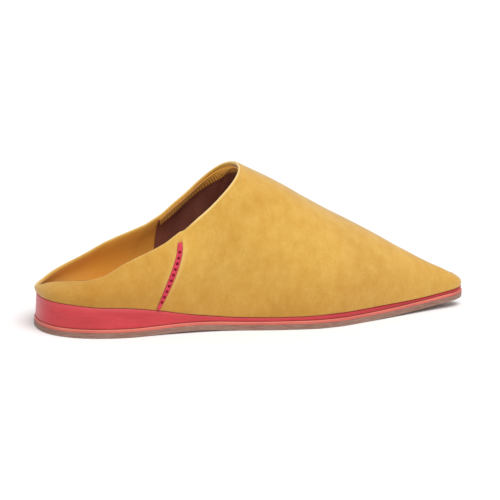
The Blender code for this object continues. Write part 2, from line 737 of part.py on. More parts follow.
class CharmFrame:
    """Where the charm hangs: the stud's seat, the plane it swings in and the way down in it."""

    def __init__(self):
        share = share_of_place(CHARM_AT)
        for _ in range(6):
            share += (CHARM_AT - wall_point(share, 1, CHARM_UP_SHARE).x) / wall_frame(share, 1, CHARM_UP_SHARE)[1]
        self.seat = wall_point(share, 1, CHARM_UP_SHARE)
        self.facing, _ = wall_frame(share, 1, CHARM_UP_SHARE)
        side_facing, _ = wall_frame(share, 1, SIDE_UP_SHARE)
        level = Vector((side_facing.x, side_facing.y, 0)).normalized()
        self.stud_down = (Vector((0, 0, -1)) + self.facing.z * self.facing).normalized()
        reach = 0.5 * STUD_DIAMETER + EYE_RADIUS - EYE_SINK_SHARE * EYE_WIRE
        self.eye = self.seat + self.stud_down * reach + self.facing * (STUD_RIM_HEIGHT - 0.5 * EYE_WIRE)
        tilt = -1.0
        for step in range(1, 24):
            wall = wall_point(share, 1, CHARM_UP_SHARE * (1 - step / 24))
            drop = self.eye.z - wall.z
            if drop > RING_RADIUS:
                tilt = max(tilt, ((wall - self.eye).dot(level) + CHARM_STAND_OFF) / drop)
        angle = math.atan(tilt)
        self.out = level * math.cos(angle) + Vector((0, 0, math.sin(angle)))
        self.down = level * math.sin(angle) - Vector((0, 0, math.cos(angle)))
        self.across = self.down.cross(self.out)
        hole = EYE_RADIUS - 0.5 * EYE_WIRE
        self.chain_pivot = self.eye + self.down * (hole - 0.5 * CHAIN_WIRE - LOOP_GAP)
        self.pendant_pivot = self.chain_pivot + self.down * CHAIN_LENGTH
        ring_hole = RING_RADIUS - 0.5 * RING_WIRE
        self.ring = self.pendant_pivot + self.down * (ring_hole - 0.5 * CHAIN_WIRE - LOOP_GAP)


def loop_of_wire(centre, toward, across, half_length, half_width, wire, turns=20, sides=8):
    """Points and faces of a round or oval ring of wire, lying in the plane of its two directions."""
    normal = toward.cross(across)
    points = []
    for i in range(turns):
        angle = 2 * math.pi * i / turns
        middle = centre + toward * half_length * math.cos(angle) + across * half_width * math.sin(angle)
        tangent = -toward * half_length * math.sin(angle) + across * half_width * math.cos(angle)
        outer = tangent.cross(normal).normalized()
        for j in range(sides):
            spin = 2 * math.pi * (j + 0.5) / sides
            points.append(middle + 0.5 * wire * (outer * math.cos(spin) + normal * math.sin(spin)))
    faces = []
    for i in range(turns):
        k = (i + 1) % turns
        for j in range(sides):
            m = (j + 1) % sides
            faces.append((i * sides + j, k * sides + j, k * sides + m, i * sides + m))
    return points, faces


def turned(centre, axis, profile, sides):
    """Points and faces of a solid turned about an axis: rows of distance along it and radius."""
    first = axis.orthogonal().normalized()
    second = axis.cross(first)
    points = []
    for along, radius in profile:
        for j in range(sides):
            spin = 2 * math.pi * j / sides
            points.append(centre + axis * along + radius * (first * math.cos(spin) + second * math.sin(spin)))
    faces = []
    for i in range(len(profile) - 1):
        for j in range(sides):
            k = (j + 1) % sides
            faces.append((i * sides + j, i * sides + k, (i + 1) * sides + k, (i + 1) * sides + j))
    faces += [tuple(range(sides)), tuple(range((len(profile) - 1) * sides, len(profile) * sides))]
    return points, faces


def fuse(base, others):
    """Joins other closed shapes to an object by Boolean unions, and keeps them as hidden helpers."""
    for other in others:
        union = base.modifiers.new(other.name, "BOOLEAN")
        union.operation = "UNION"
        union.object = other
        other.hide_render = True
        other.display_type = "WIRE"


def build_charm_stud(frame, metal):
    rim = 0.5 * STUD_DIAMETER
    top = STUD_RIM_HEIGHT
    lip = STUD_LIP_SHARE * rim
    profile = [(FIT_GAP, lip), (FIT_GAP + STUD_BEVEL, rim), (top - STUD_BEVEL, rim), (top, lip)]
    for i in range(1, 6):
        angle = 0.5 * math.pi * i / 6
        profile.append((top + STUD_DOME_HEIGHT * math.sin(angle), lip * math.cos(angle)))
    points, faces = turned(frame.seat, frame.facing, profile, 28)
    stud = linked_object("charm_stud", points, faces, metal)
    ring = loop_of_wire(frame.eye, frame.down, frame.across, EYE_RADIUS, EYE_RADIUS, EYE_WIRE)
    fuse(stud, [linked_object("charm_stud_eye", *ring, metal)])
    return stud


def build_charm_chain(frame, metal):
    """A fine beaded chain between two small loops, its origin on the stud's eye."""
    upper_half = 0.5 * (EYE_WIRE + CHAIN_WIRE) + LOOP_GAP
    lower_half = 0.5 * (RING_WIRE + CHAIN_WIRE) + 2 * LOOP_GAP
    start = 2 * upper_half
    end = CHAIN_LENGTH - 2 * lower_half
    pitch = (end - start) / CHAIN_BEADS
    profile = []
    for i in range(CHAIN_BEADS):
        for part, radius in BEAD_ROWS:
            profile.append((start + (i + part) * pitch, radius * CHAIN_BEAD))
    profile.append((end, BEAD_ROWS[0][1] * CHAIN_BEAD))
    points, faces = turned(frame.chain_pivot, frame.down, profile, 10)
    chain = linked_object("charm_chain", points, faces, metal, frame.chain_pivot)
    upper = frame.chain_pivot + frame.down * upper_half
    lower = frame.pendant_pivot - frame.down * lower_half
    rings = []
    for name, centre, half in (("upper", upper, upper_half), ("lower", lower, lower_half)):
        ring = loop_of_wire(centre, frame.down, frame.out, half, min(half, CHAIN_LOOP_WIDTH), CHAIN_WIRE)
        rings.append(linked_object("charm_chain_" + name, *ring, metal, frame.chain_pivot))
    fuse(chain, rings)
    return chain


def build_charm_ring(frame, metal):
    ring = loop_of_wire(frame.ring, frame.down, frame.across, RING_RADIUS, RING_RADIUS, RING_WIRE, 28, 10)
    return linked_object("charm_ring", *ring, metal, frame.pendant_pivot)


def build_charm_link(frame, metal):
    """The small oval link between the ring and the bail."""
    start = RING_RADIUS - 0.5 * RING_WIRE - LOOP_GAP - 0.5 * LINK_WIRE
    end = bail_start() + 0.5 * BAIL_WIRE + LOOP_GAP + 0.5 * LINK_WIRE
    centre = frame.ring + frame.down * 0.5 * (start + end)
    half_width = 0.5 * (RING_WIRE + LINK_WIRE) + LINK_SLACK_SHARE * LOOP_GAP
    link = loop_of_wire(centre, frame.down, frame.out, 0.5 * (end - start), half_width, LINK_WIRE)
    return linked_object("charm_link", *link, metal, frame.pendant_pivot)


def bail_start():
    """Distance from the ring's middle down to the middle of the wire at the bail's top."""
    return RING_RADIUS + 0.5 * RING_WIRE + LOOP_GAP + 0.5 * BAIL_WIRE


def build_charm_arrowhead(frame, metal):
    """A plain arrowhead with a raised border, cast in one with the oval bail that it hangs by."""
    top = frame.ring + frame.down * (bail_start() + BAIL_HEIGHT + ARROW_NECK)
    half = 0.5 * ARROW_THICKNESS
    layers = ((1, -half), (1, half), (3, half), (3, half - ARROW_RECESS))
    points = []
    for column, height in layers:
        for row in ARROW_ROWS + tuple((-across, *rest) for across, *rest in reversed(ARROW_ROWS[1:-1])):
            across = abs(row[column - 1]) * (1 if row[0] > 0 else -1) * 0.5 * ARROW_WIDTH
            down = row[column] * ARROW_LENGTH
            points.append(top + frame.across * across + frame.down * down + frame.out * height)
    count = len(points) // len(layers)
    faces = []
    for level in range(len(layers) - 1):
        for i in range(count):
            j = (i + 1) % count
            low, high = level * count, (level + 1) * count
            faces.append((low + i, low + j, high + j, high + i))
    faces += [tuple(range(count)), tuple(range((len(layers) - 1) * count, len(layers) * count))]
    arrow = linked_object("charm_arrowhead", points, faces, metal, frame.pendant_pivot)
    centre = frame.ring + frame.down * (bail_start() + 0.5 * BAIL_HEIGHT)
    bail = loop_of_wire(centre, frame.down, frame.across, 0.5 * BAIL_HEIGHT, 0.5 * BAIL_WIDTH, BAIL_WIRE)
    fuse(arrow, [linked_object("charm_bail", *bail, metal, frame.pendant_pivot)])
    return arrow


def build_charm():
    frame = CharmFrame()
    metal = painted("polished_steel", (0.78, 0.78, 0.80), 0.18, 1.0)
    build_charm_stud(frame, metal)
    build_charm_chain(frame, metal)
    build_charm_ring(frame, metal)
    build_charm_link(frame, metal)
    build_charm_arrowhead(frame, metal)


def clear_scene():
    for old in list(bpy.data.objects):
        bpy.data.objects.remove(old)


def build_slipper():
    clear_scene()
    build_outsole()
    build_midsole()
    build_insole()
    build_upper()
    build_seam_strip("seam_strip_inner", -1)
    build_seam_strip("seam_strip_outer", 1)
    build_collar_facing()
    build_charm()


build_slipper()
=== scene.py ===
"""The babouche slipper dressed for its picture: napped suede over the painted wedge, the dark
lining, the pleated band under the collar, the laced side seams and the little charm's real links.

Metres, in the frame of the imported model. The shape functions repeat those that the solids were
made with, so that every piece lies where its solid does.
"""

import math

import bmesh
import bpy
from mathutils import Matrix, Vector, noise


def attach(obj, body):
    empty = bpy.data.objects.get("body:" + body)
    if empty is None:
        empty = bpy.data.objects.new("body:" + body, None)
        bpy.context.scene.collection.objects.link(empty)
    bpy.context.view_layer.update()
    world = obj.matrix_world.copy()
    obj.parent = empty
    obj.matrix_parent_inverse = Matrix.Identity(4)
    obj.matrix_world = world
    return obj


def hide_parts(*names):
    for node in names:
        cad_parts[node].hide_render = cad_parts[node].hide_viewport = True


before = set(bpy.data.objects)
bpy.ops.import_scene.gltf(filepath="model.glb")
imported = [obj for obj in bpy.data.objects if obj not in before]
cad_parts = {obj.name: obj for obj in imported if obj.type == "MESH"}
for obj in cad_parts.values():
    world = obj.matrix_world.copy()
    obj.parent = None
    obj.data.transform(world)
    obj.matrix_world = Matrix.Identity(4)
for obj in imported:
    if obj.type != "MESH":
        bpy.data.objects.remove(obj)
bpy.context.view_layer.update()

# Sole sizes
SHOE_LENGTH = 0.2696
HEEL_WIDTH = 0.0660
WAIST_WIDTH = 0.0605
BALL_WIDTH = 0.0735
TOE_POINT_WIDTH = 0.0108
HEEL_ROUND = 0.0478
TOE_ROUND = 0.0100
HEEL_SPOT_AT = 0.0300
OUTSOLE_THICKNESS = 0.0051
TOE_SPRING = 0.0052
ARCH_RISE = 0.0010
HEEL_SEAT_HEIGHT = 0.0192
RAND_HEIGHT = 0.0006
LEDGE = 0.0007
WEDGE_FLARE = 0.0003

# Upper sizes
UPPER_WALL = 0.0020
BACK_AT = -0.0006
BACK_RISE = 0.0056
SEAM_FOOT_AT = 0.0638
SEAM_TOP_AT = 0.0812
COLLAR_WIDTH = 0.0466
COLLAR_LIP = 0.0006
THROAT_FOOT_AT = 0.1237
THROAT_AT = 0.1191
THROAT_RISE = 0.0862
NOSE_SETBACK = 0.0070
NOSE_RISE = 0.0091
SIDE_SWELL = 0.0045

# Trim sizes
INSOLE_THICKNESS = 0.0015
SEAM_WIDTH = 0.0048
SEAM_GROOVE = 0.0009
SEAM_LIP = 0.0005
SEAM_STRIP_THICKNESS = 0.0008
FACING_THICKNESS = 0.0009
FACING_GAP = 0.0007

# Charm sizes, measured down from the middle of the stud
STUD_DIAMETER = 0.0070
STUD_RIM_HEIGHT = 0.0019
STUD_DOME_HEIGHT = 0.0013
EYE_RADIUS = 0.0011
EYE_WIRE = 0.0006
CHAIN_LENGTH = 0.0132
CHAIN_WIRE = 0.0005
RING_RADIUS = 0.0021
RING_WIRE = 0.0010
LINK_WIRE = 0.0005
BAIL_WIDTH = 0.0046
BAIL_HEIGHT = 0.0054
BAIL_WIRE = 0.0008
ARROW_NECK = 0.0010
ARROW_WIDTH = 0.0110
ARROW_LENGTH = 0.0152
ARROW_THICKNESS = 0.0015
ARROW_RECESS = 0.0005
CHARM_UP_SHARE = 0.675
CHARM_AT = 0.0922
CHARM_STAND_OFF = 0.0018

# Clearance between pieces that are glued or stitched together, and between the charm's loops
FIT_GAP = 0.0003
LOOP_GAP = 0.00025

# Charm's lesser shapes: the stud's lip beside its rim, the eye's wire sunk in the stud, the wall's
# height at which the charm's plane is set, and the link's slack beside a loop's gap
STUD_LIP_SHARE = 0.9
EYE_SINK_SHARE = 0.25
SIDE_UP_SHARE = 0.35
LINK_SLACK_SHARE = 1.4

# Shares of the way round a half outline that the heel's and the toe's rounds take
HEEL_SHARE = 0.20
TOE_SHARE = 0.07

# Share of the way from the side seam's top back to the heel over which the wedge flares out fully
FLARE_FULL_SHARE = 0.33

# Band turned in under the collar: how far from the seam it starts, as a share of the way to the
# throat, and how far its upper edge is set back from the collar, as a share of its width
FACING_START_SHARE = 0.08
FACING_SETBACK_SHARE = 0.10

# How square the rounds are, and how far a wall's inner corner is drawn back from a pointed toe
HEEL_SQUARENESS = 0.86
TOE_SQUARENESS = 2.6
POINT_DRAW_SHARE = 3.0

# Where the underside leaves the floor, as shares of the length
ARCH_FROM_SHARE = 0.19
ARCH_TO_SHARE = 0.45
SPRING_FROM_SHARE = 0.68

# Shares of the way from the back to the side seam's top that the collar's round and its bend take
RIM_BACK_SHARE = 0.64
RIM_ROUND_SHARE = 0.46
RIM_SQUARENESS = 0.72
THROAT_SQUARENESS = 5

# How the stations bunch up along the collar and the ridge, and how deep the ridge's wall looks
COLLAR_BUNCHING_SHARE = 0.5
RIDGE_BUNCHING_SHARE = 0.08
RIDGE_DEPTH_SHARE = 1.12

# Shares of the wall's height that its foot and its top edge run straight for, and its least swell
LEAST_SWELL_SHARE = 0.35
FOOT_PULL_SHARE = 0.55
EDGE_PULL_SHARE = 0.25

# Side seam: shares of the wall's height, its least width and how full its lens is
SEAM_CLOSE_SHARE = 0.90
STRIP_FOOT_SHARE = 0.008
STRIP_TOP_SHARE = 0.82
SEAM_LEAST_SHARE = 0.36
SEAM_SQUARENESS = 0.8
SEAM_CLEAR_SHARE = 0.35

# Shares of the way round: the seams' bows, and how far back the outer one stands at foot and top
INNER_BOW_SHARE = 0.0170
INNER_LEAN_SHARE = 0.0166
LEAN_SETTLING = 8
OUTER_BOW_SHARE = 0.007
OUTER_SEAM_SHARE = 0.009
OUTER_LEAN_SHARE = 0.014
SHIFT_FROM_SHARE = 0.12

# Half outline ahead of the heel's round: share of the length, inner and outer half width
OUTLINE_ROWS = (
    (HEEL_ROUND / SHOE_LENGTH, 0.500 * HEEL_WIDTH, 0.500 * HEEL_WIDTH),
    (0.270, 0.466 * HEEL_WIDTH, 0.471 * HEEL_WIDTH),
    (0.370, 0.496 * WAIST_WIDTH, 0.508 * WAIST_WIDTH),
    (0.520, 0.480 * BALL_WIDTH, 0.482 * BALL_WIDTH),
    (0.595, 0.500 * BALL_WIDTH, 0.500 * BALL_WIDTH),
    (0.650, 0.476 * BALL_WIDTH, 0.478 * BALL_WIDTH),
    (0.716, 0.400 * BALL_WIDTH, 0.404 * BALL_WIDTH),
    (0.900, 0.178 * BALL_WIDTH, 0.178 * BALL_WIDTH),
    (1.000, 0.500 * TOE_POINT_WIDTH, 0.500 * TOE_POINT_WIDTH),
)

# Half arrowhead from its neck to its tip: shares of the half width and of the length, first of its
# edge and then of the recess in its front
ARROW_ROWS = (
    (0.00, -0.08, 0.00, 0.17),
    (0.20, -0.08, 0.08, 0.17),
    (0.26, 0.07, 0.26, 0.19),
    (0.72, -0.01, 0.52, 0.16),
    (1.00, 0.00, 0.68, 0.17),
    (0.98, 0.06, 0.66, 0.22),
    (0.20, 0.97, 0.10, 0.74),
    (0.00, 1.00, 0.00, 0.78),
)

# Wedge: share of the length, share of the heel seat's height above the rand
WEDGE_ROWS = (
    (0.000, 1.000),
    (0.050, 0.967),
    (0.100, 0.893),
    (0.160, 0.844),
    (0.235, 0.652),
    (0.290, 0.452),
    (0.350, 0.274),
    (0.420, 0.148),
    (0.500, 0.119),
    (0.570, 0.126),
    (0.640, 0.165),
    (0.750, 0.154),
    (0.900, 0.075),
    (1.000, 0.089),
)

# Wedge's side: share of its height, and how much of the flare it keeps there
FLARE_ROWS = (
    (0.00, 1.00),
    (0.12, 0.80),
    (0.50, 0.30),
    (0.86, 0.00),
    (1.00, -0.25),
)

# Collar from the back to the side seam: share of the way to the seam's top, half width as a share
# of the collar's, and the rise of the outer and of the softer inner side as shares of the way from
# the back's to the throat's
RIM_ROWS = (
    (0.00, 1.120, 0.000, 0.000),
    (0.03, 1.120, 0.006, 0.027),
    (0.06, 1.120, 0.010, 0.048),
    (0.10, 1.120, 0.021, 0.065),
    (0.20, 1.120, 0.058, 0.089),
    (0.30, 1.120, 0.098, 0.109),
    (0.42, 1.120, 0.150, 0.150),
    (0.55, 1.120, 0.225, 0.231),
    (0.68, 1.075, 0.302, 0.301),
    (0.81, 1.040, 0.376, 0.376),
    (0.91, 1.010, 0.443, 0.451),
    (0.95, 1.005, 0.479, 0.496),
    (1.00, 1.000, 0.520, 0.520),
)

# Collar from the seam to the throat: share of the way, and rise as above
THROAT_ROWS = (
    (0.00, 0.520),
    (0.20, 0.617),
    (0.39, 0.704),
    (0.66, 0.841),
    (0.87, 0.942),
    (1.00, 1.000),
)

# The band's lower edge: share of the way from the seam to the throat, how far forwards it lies as a
# share of the way round, and how far down as a share of the wall, inner and outer side
BAND_ROWS = (
    (0.00, 0.0130, 0.270, 0.280),
    (0.10, 0.0165, 0.225, 0.275),
    (0.20, 0.0200, 0.212, 0.235),
    (0.30, 0.0265, 0.206, 0.212),
    (0.40, 0.0370, 0.204, 0.203),
    (0.50, 0.0510, 0.205, 0.204),
    (0.60, 0.0670, 0.205, 0.212),
    (0.70, 0.0660, 0.170, 0.190),
    (0.80, 0.0530, 0.108, 0.120),
    (0.90, 0.0360, 0.050, 0.055),
    (1.00, 0.0175, 0.000, 0.000),
)

# Ridge of the vamp: share of the way from the throat to the nose, and rise as a share of the way
# from the nose's to the throat's
RIDGE_ROWS = (
    (0.00, 1.000),
    (0.15, 0.874),
    (0.36, 0.649),
    (0.57, 0.448),
    (0.78, 0.228),
    (0.92, 0.074),
    (1.00, 0.000),
)


def curve_through(rows, column):
    """A function that reads one column of a table, on a curve that never overshoots its rows."""
    places = [row[0] for row in rows]
    values = [row[column] for row in rows]
    steps = [after - before for before, after in zip(places, places[1:])]
    rates = [(after - before) / step for before, after, step in zip(values, values[1:], steps)]
    slopes = [rates[0]]
    for before, after in zip(rates, rates[1:]):
        slopes.append(2 * before * after / (before + after) if before * after > 0 else 0.0)
    slopes.append(rates[-1])

    def read(place):
        place = min(max(place, places[0]), places[-1])
        last = len(steps) - 1
        index = next((i for i in range(last) if place < places[i + 1]), last)
        step = steps[index]
        t = (place - places[index]) / step
        start = (2 * t**3 - 3 * t**2 + 1) * values[index] + (t**3 - 2 * t**2 + t) * step * slopes[index]
        end = (3 * t**2 - 2 * t**3) * values[index + 1] + (t**3 - t**2) * step * slopes[index + 1]
        return start + end

    return read


def share_of_place(place):
    """The share of the way round at which the outline passes a place along the shoe's side."""
    side_length = SHOE_LENGTH - TOE_ROUND - HEEL_ROUND
    return HEEL_SHARE + (1 - HEEL_SHARE - TOE_SHARE) * (place - HEEL_ROUND) / side_length


SEAM_SHARE = share_of_place(SEAM_FOOT_AT)
THROAT_SHARE = share_of_place(THROAT_FOOT_AT)

# The wall's upper edge: share of the way round, lean inwards in degrees of the softer inner and of
# the outer side, and fullness
CROWN_ROWS = (
    (0.0, 36.0, 36.0, 0.50),
    (0.5 * HEEL_SHARE, 50.0, 22.0, 0.55),
    (HEEL_SHARE, 34.0, 14.0, 0.55),
    (SEAM_SHARE, 17.0, 14.0, 0.56),
    (0.60 * SEAM_SHARE + 0.40 * THROAT_SHARE, 32.0, 32.0, 0.66),
    (0.20 * SEAM_SHARE + 0.80 * THROAT_SHARE, 66.0, 66.0, 0.72),
    (THROAT_SHARE, 90.0, 90.0, 0.73),
    (0.5 + 0.5 * THROAT_SHARE, 90.0, 90.0, 0.62),
    (1 - TOE_SHARE, 90.0, 90.0, 0.56),
    (1.0, 60.0, 60.0, 0.42),
)

half_width_readers = {-1: curve_through(OUTLINE_ROWS, 1), 1: curve_through(OUTLINE_ROWS, 2)}
wedge_share = curve_through(WEDGE_ROWS, 1)
rim_half_width = curve_through(RIM_ROWS, 1)
rim_rises = {-1: curve_through(RIM_ROWS, 3), 1: curve_through(RIM_ROWS, 2)}
throat_rise = curve_through(THROAT_ROWS, 1)
ridge_rise = curve_through(RIDGE_ROWS, 1)
band_forward = curve_through(BAND_ROWS, 1)
band_drops = {-1: curve_through(BAND_ROWS, 2), 1: curve_through(BAND_ROWS, 3)}
crown_leans = {-1: curve_through(CROWN_ROWS, 1), 1: curve_through(CROWN_ROWS, 2)}
crown_fullness = curve_through(CROWN_ROWS, 3)


def spread(start, end, count):
    """That many evenly spaced values, the end left out."""
    return [start + (end - start) * i / count for i in range(count)]


def outline_point(share, side, inset, depth=0.0):
    """A point of the plan, from the heel's back (share 0) round one side to the toe (share 1)."""
    moved = inset + depth
    tip = SHOE_LENGTH - inset - POINT_DRAW_SHARE * depth
    if share <= HEEL_SHARE:
        turn = 0.5 * math.pi * share / HEEL_SHARE
        x = HEEL_ROUND - (HEEL_ROUND - moved) * math.cos(turn) ** HEEL_SQUARENESS
        return x, side * (0.5 * HEEL_WIDTH - moved) * math.sin(turn) ** HEEL_SQUARENESS
    round_from = tip - TOE_ROUND
    side_share = min((share - HEEL_SHARE) / (1 - HEEL_SHARE - TOE_SHARE), 1.0)
    turn = 0.5 * math.pi * max(share - 1 + TOE_SHARE, 0.0) / TOE_SHARE
    x = HEEL_ROUND + (round_from - HEEL_ROUND) * side_share + TOE_ROUND * math.sin(turn)
    rounding = max(1 - math.sin(turn) ** TOE_SQUARENESS, 0.0) ** 0.5
    return x, side * (half_width_readers[side](x / SHOE_LENGTH) - moved) * rounding


def spring_height(x):
    """How far the toe spring lifts the sole."""
    return TOE_SPRING * (max(x / SHOE_LENGTH - SPRING_FROM_SHARE, 0.0) / (1 - SPRING_FROM_SHARE)) ** 2


def underside_height(x):
    """Height of the outsole's underside: flat at heel and forefoot, up at the arch and the toe."""
    arch_share = (x / SHOE_LENGTH - ARCH_FROM_SHARE) / (ARCH_TO_SHARE - ARCH_FROM_SHARE)
    arch = math.sin(math.pi * min(max(arch_share, 0.0), 1.0)) ** 2
    return spring_height(x) + ARCH_RISE * arch


def seat_height(x):
    """Height of the wedge's top, on which the upper and the insole stand."""
    rand = OUTSOLE_THICKNESS + RAND_HEIGHT
    return spring_height(x) + rand + (HEEL_SEAT_HEIGHT - rand) * wedge_share(x / SHOE_LENGTH)


def ledge_inset(x):
    """How far the wedge's top edge stands back from the outsole's edge."""
    heel = max(1 - x / SEAM_TOP_AT, 0.0)
    return LEDGE + WEDGE_FLARE * min(heel / FLARE_FULL_SHARE, 1.0) ** 2


def outward(share, side):
    """The plan direction in which the wall faces."""
    if share <= HEEL_SHARE:
        turn = 0.5 * math.pi * share / HEEL_SHARE
        return Vector((-math.cos(turn), side * math.sin(turn), 0))
    turn = 0.5 * math.pi * max(share - 1 + TOE_SHARE, 0.0) / TOE_SHARE
    return Vector((math.sin(turn), side * math.cos(turn), 0))


def crown_point(share, side, depth):
    """The upper's top edge: the collar from the back to the throat, then the ridge to the nose."""
    reach = THROAT_RISE - BACK_RISE
    lean = math.radians(crown_leans[side](share))
    if share <= SEAM_SHARE:
        if share <= HEEL_SHARE:
            turn = 0.5 * math.pi * share / HEEL_SHARE
            along = RIM_BACK_SHARE * (1 - math.cos(turn))
        else:
            on_side = (share - HEEL_SHARE) / (SEAM_SHARE - HEEL_SHARE)
            along = RIM_BACK_SHARE + (1 - RIM_BACK_SHARE) * on_side
        x = BACK_AT + (SEAM_TOP_AT - BACK_AT) * along
        rounding = max(1 - along / RIM_ROUND_SHARE, 0.0)
        y = 0.5 * COLLAR_WIDTH * rim_half_width(along) * (1 - rounding**2) ** RIM_SQUARENESS
        rise = BACK_RISE + reach * rim_rises[side](along)
    elif share <= THROAT_SHARE:
        way = (share - SEAM_SHARE) / (THROAT_SHARE - SEAM_SHARE)
        way *= 1 + COLLAR_BUNCHING_SHARE * (1 - way)
        along = math.sin(0.5 * math.pi * way)
        x = SEAM_TOP_AT + (THROAT_AT - SEAM_TOP_AT) * along
        y = 0.5 * COLLAR_WIDTH * max(1 - along**THROAT_SQUARENESS, 0.0) ** 0.5
        rise = BACK_RISE + reach * throat_rise(along)
    else:
        way = (share - THROAT_SHARE) / (1 - THROAT_SHARE)
        nose = SHOE_LENGTH - NOSE_SETBACK
        inner_nose = nose - POINT_DRAW_SHARE * depth
        x = THROAT_AT + (inner_nose - THROAT_AT) * way * (1 + RIDGE_BUNCHING_SHARE * (1 - way))
        y = 0.0
        rise = NOSE_RISE + (THROAT_RISE - NOSE_RISE) * ridge_rise((x - THROAT_AT) / (nose - THROAT_AT))
    edge = Vector((x, side * y, seat_height(x) + rise))
    facing = outward(share, side) * math.cos(lean) + Vector((0, 0, RIDGE_DEPTH_SHARE * math.sin(lean)))
    return edge - depth * facing


def wall_section(share, side, depth=0.0):
    """Four points of the curve that the wall follows from the wedge to its top edge."""
    out = outward(share, side)
    up = Vector((0, 0, 1))
    x, y = outline_point(share, side, LEDGE, depth)
    inset = ledge_inset(x) - LEDGE
    foot = Vector((x, y, seat_height(x) + FIT_GAP)) - inset * out
    crown = crown_point(share, side, depth)
    height = crown.z - foot.z
    width = max((foot - crown).dot(out), 0.0)
    lean = math.radians(crown_leans[side](share))
    swell = SIDE_SWELL * (LEAST_SWELL_SHARE + (1 - LEAST_SWELL_SHARE) * height / THROAT_RISE)
    foot_pull = FOOT_PULL_SHARE * height * up + swell * out
    crown_length = crown_fullness(share) * width * math.sin(lean) + EDGE_PULL_SHARE * height * math.cos(lean)
    crown_pull = crown_length * (out * math.sin(lean) - up * math.cos(lean))
    fan = crown - foot
    fan.z = 0.0
    fan = (fan - fan.dot(out) * out) / 3
    return foot, foot + foot_pull + fan, crown + crown_pull - fan, crown


def along_section(section, up_share):
    """The point a share of the way up a wall section."""
    a, b, c, d = section
    t = up_share
    return (1 - t) ** 3 * a + 3 * (1 - t) ** 2 * t * b + 3 * (1 - t) * t**2 * c + t**3 * d


def seam_shift(side, up_share):
    """How far a side seam stands ahead of its straight place, as a share of the way round."""
    bow = 4 * up_share * (1 - up_share)
    if side < 0:
        lean = up_share * (1 - up_share**LEAN_SETTLING)
        return INNER_BOW_SHARE * bow - INNER_LEAN_SHARE * lean
    return -(OUTER_SEAM_SHARE + OUTER_LEAN_SHARE * up_share + OUTER_BOW_SHARE * bow)


def wall_point(share, side, up_share, depth=0.0):
    """A point of the wall, its stations shifted near the side seam to follow the seam's own line."""
    if SHIFT_FROM_SHARE < share < THROAT_SHARE:
        rising = (share - SHIFT_FROM_SHARE) / (SEAM_SHARE - SHIFT_FROM_SHARE)
        falling = (THROAT_SHARE - share) / (THROAT_SHARE - SEAM_SHARE)
        share += seam_shift(side, up_share) * min(rising, falling)
    return along_section(wall_section(share, side, depth), up_share)


def wall_frame(share, side, up_share):
    """Unit normal of the outer face there, and how far a point moves for a unit of share."""
    step = 0.002
    before = wall_point(share - step, side, up_share)
    after = wall_point(share + step, side, up_share)
    lower = wall_point(share, side, up_share - step)
    upper = wall_point(share, side, up_share + step)
    along = after - before
    normal = along.cross(upper - lower).normalized()
    return normal * -side, along.length / (2 * step)


def seam_half_width(up_share):
    """The side seam is a narrow lens: it opens above the wedge and closes under the collar."""
    lens = math.sin(math.pi * min(max(up_share / SEAM_CLOSE_SHARE, 0.0), 1.0)) ** SEAM_SQUARENESS
    return 0.5 * SEAM_WIDTH * (SEAM_LEAST_SHARE + (1 - SEAM_LEAST_SHARE) * lens), lens


def seam_point(side, up_share, offset, relief):
    """A point beside the seam's middle line, offset metres towards the toe and raised by relief."""
    normal, scale = wall_frame(SEAM_SHARE, side, up_share)
    share = SEAM_SHARE + offset / scale
    return wall_point(share, side, up_share) + relief * normal


def facing_point(share, side, across, depth):
    """A point of the band turned in under the collar, a share of its width away from the edge."""
    way = (share - SEAM_SHARE) / (THROAT_SHARE - SEAM_SHARE)
    drop = band_drops[side](way)
    return wall_point(share + across * band_forward(way), side, 1 - across * drop, depth)


class CharmFrame:
    """Where the charm hangs: the stud's seat, the plane it swings in and the way down in it."""

    def __init__(self):
        share = share_of_place(CHARM_AT)
        for _ in range(6):
            _, scale = wall_frame(share, 1, CHARM_UP_SHARE)
            share += (CHARM_AT - wall_point(share, 1, CHARM_UP_SHARE).x) / scale
        self.seat = wall_point(share, 1, CHARM_UP_SHARE)
        self.facing, _ = wall_frame(share, 1, CHARM_UP_SHARE)
        side_facing, _ = wall_frame(share, 1, SIDE_UP_SHARE)
        level = Vector((side_facing.x, side_facing.y, 0)).normalized()
        self.stud_down = (Vector((0, 0, -1)) + self.facing.z * self.facing).normalized()
        reach = 0.5 * STUD_DIAMETER + EYE_RADIUS - EYE_SINK_SHARE * EYE_WIRE
        self.eye = self.seat + self.stud_down * reach + self.facing * (STUD_RIM_HEIGHT - 0.5 * EYE_WIRE)
        tilt = -1.0
        for step in range(1, 24):
            wall = wall_point(share, 1, CHARM_UP_SHARE * (1 - step / 24))
            drop = self.eye.z - wall.z
            if drop > RING_RADIUS:
                tilt = max(tilt, ((wall - self.eye).dot(level) + CHARM_STAND_OFF) / drop)
        angle = math.atan(tilt)
        self.out = level * math.cos(angle) + Vector((0, 0, math.sin(angle)))
        self.down = level * math.sin(angle) - Vector((0, 0, math.cos(angle)))
        self.across = self.down.cross(self.out)
        hole = EYE_RADIUS - 0.5 * EYE_WIRE
        self.chain_pivot = self.eye + self.down * (hole - 0.5 * CHAIN_WIRE - LOOP_GAP)
        self.pendant_pivot = self.chain_pivot + self.down * CHAIN_LENGTH
        ring_hole = RING_RADIUS - 0.5 * RING_WIRE
        self.ring = self.pendant_pivot + self.down * (ring_hole - 0.5 * CHAIN_WIRE - LOOP_GAP)


def strips(rows, width, base=0):
    """Quads between neighbouring rows of points, where each row goes all the way round."""
    faces = []
    for i in range(rows - 1):
        low, high = base + i * width, base + (i + 1) * width
        for j in range(width):
            k = (j + 1) % width
            faces.append((low + j, low + k, high + k, high + j))
    return faces


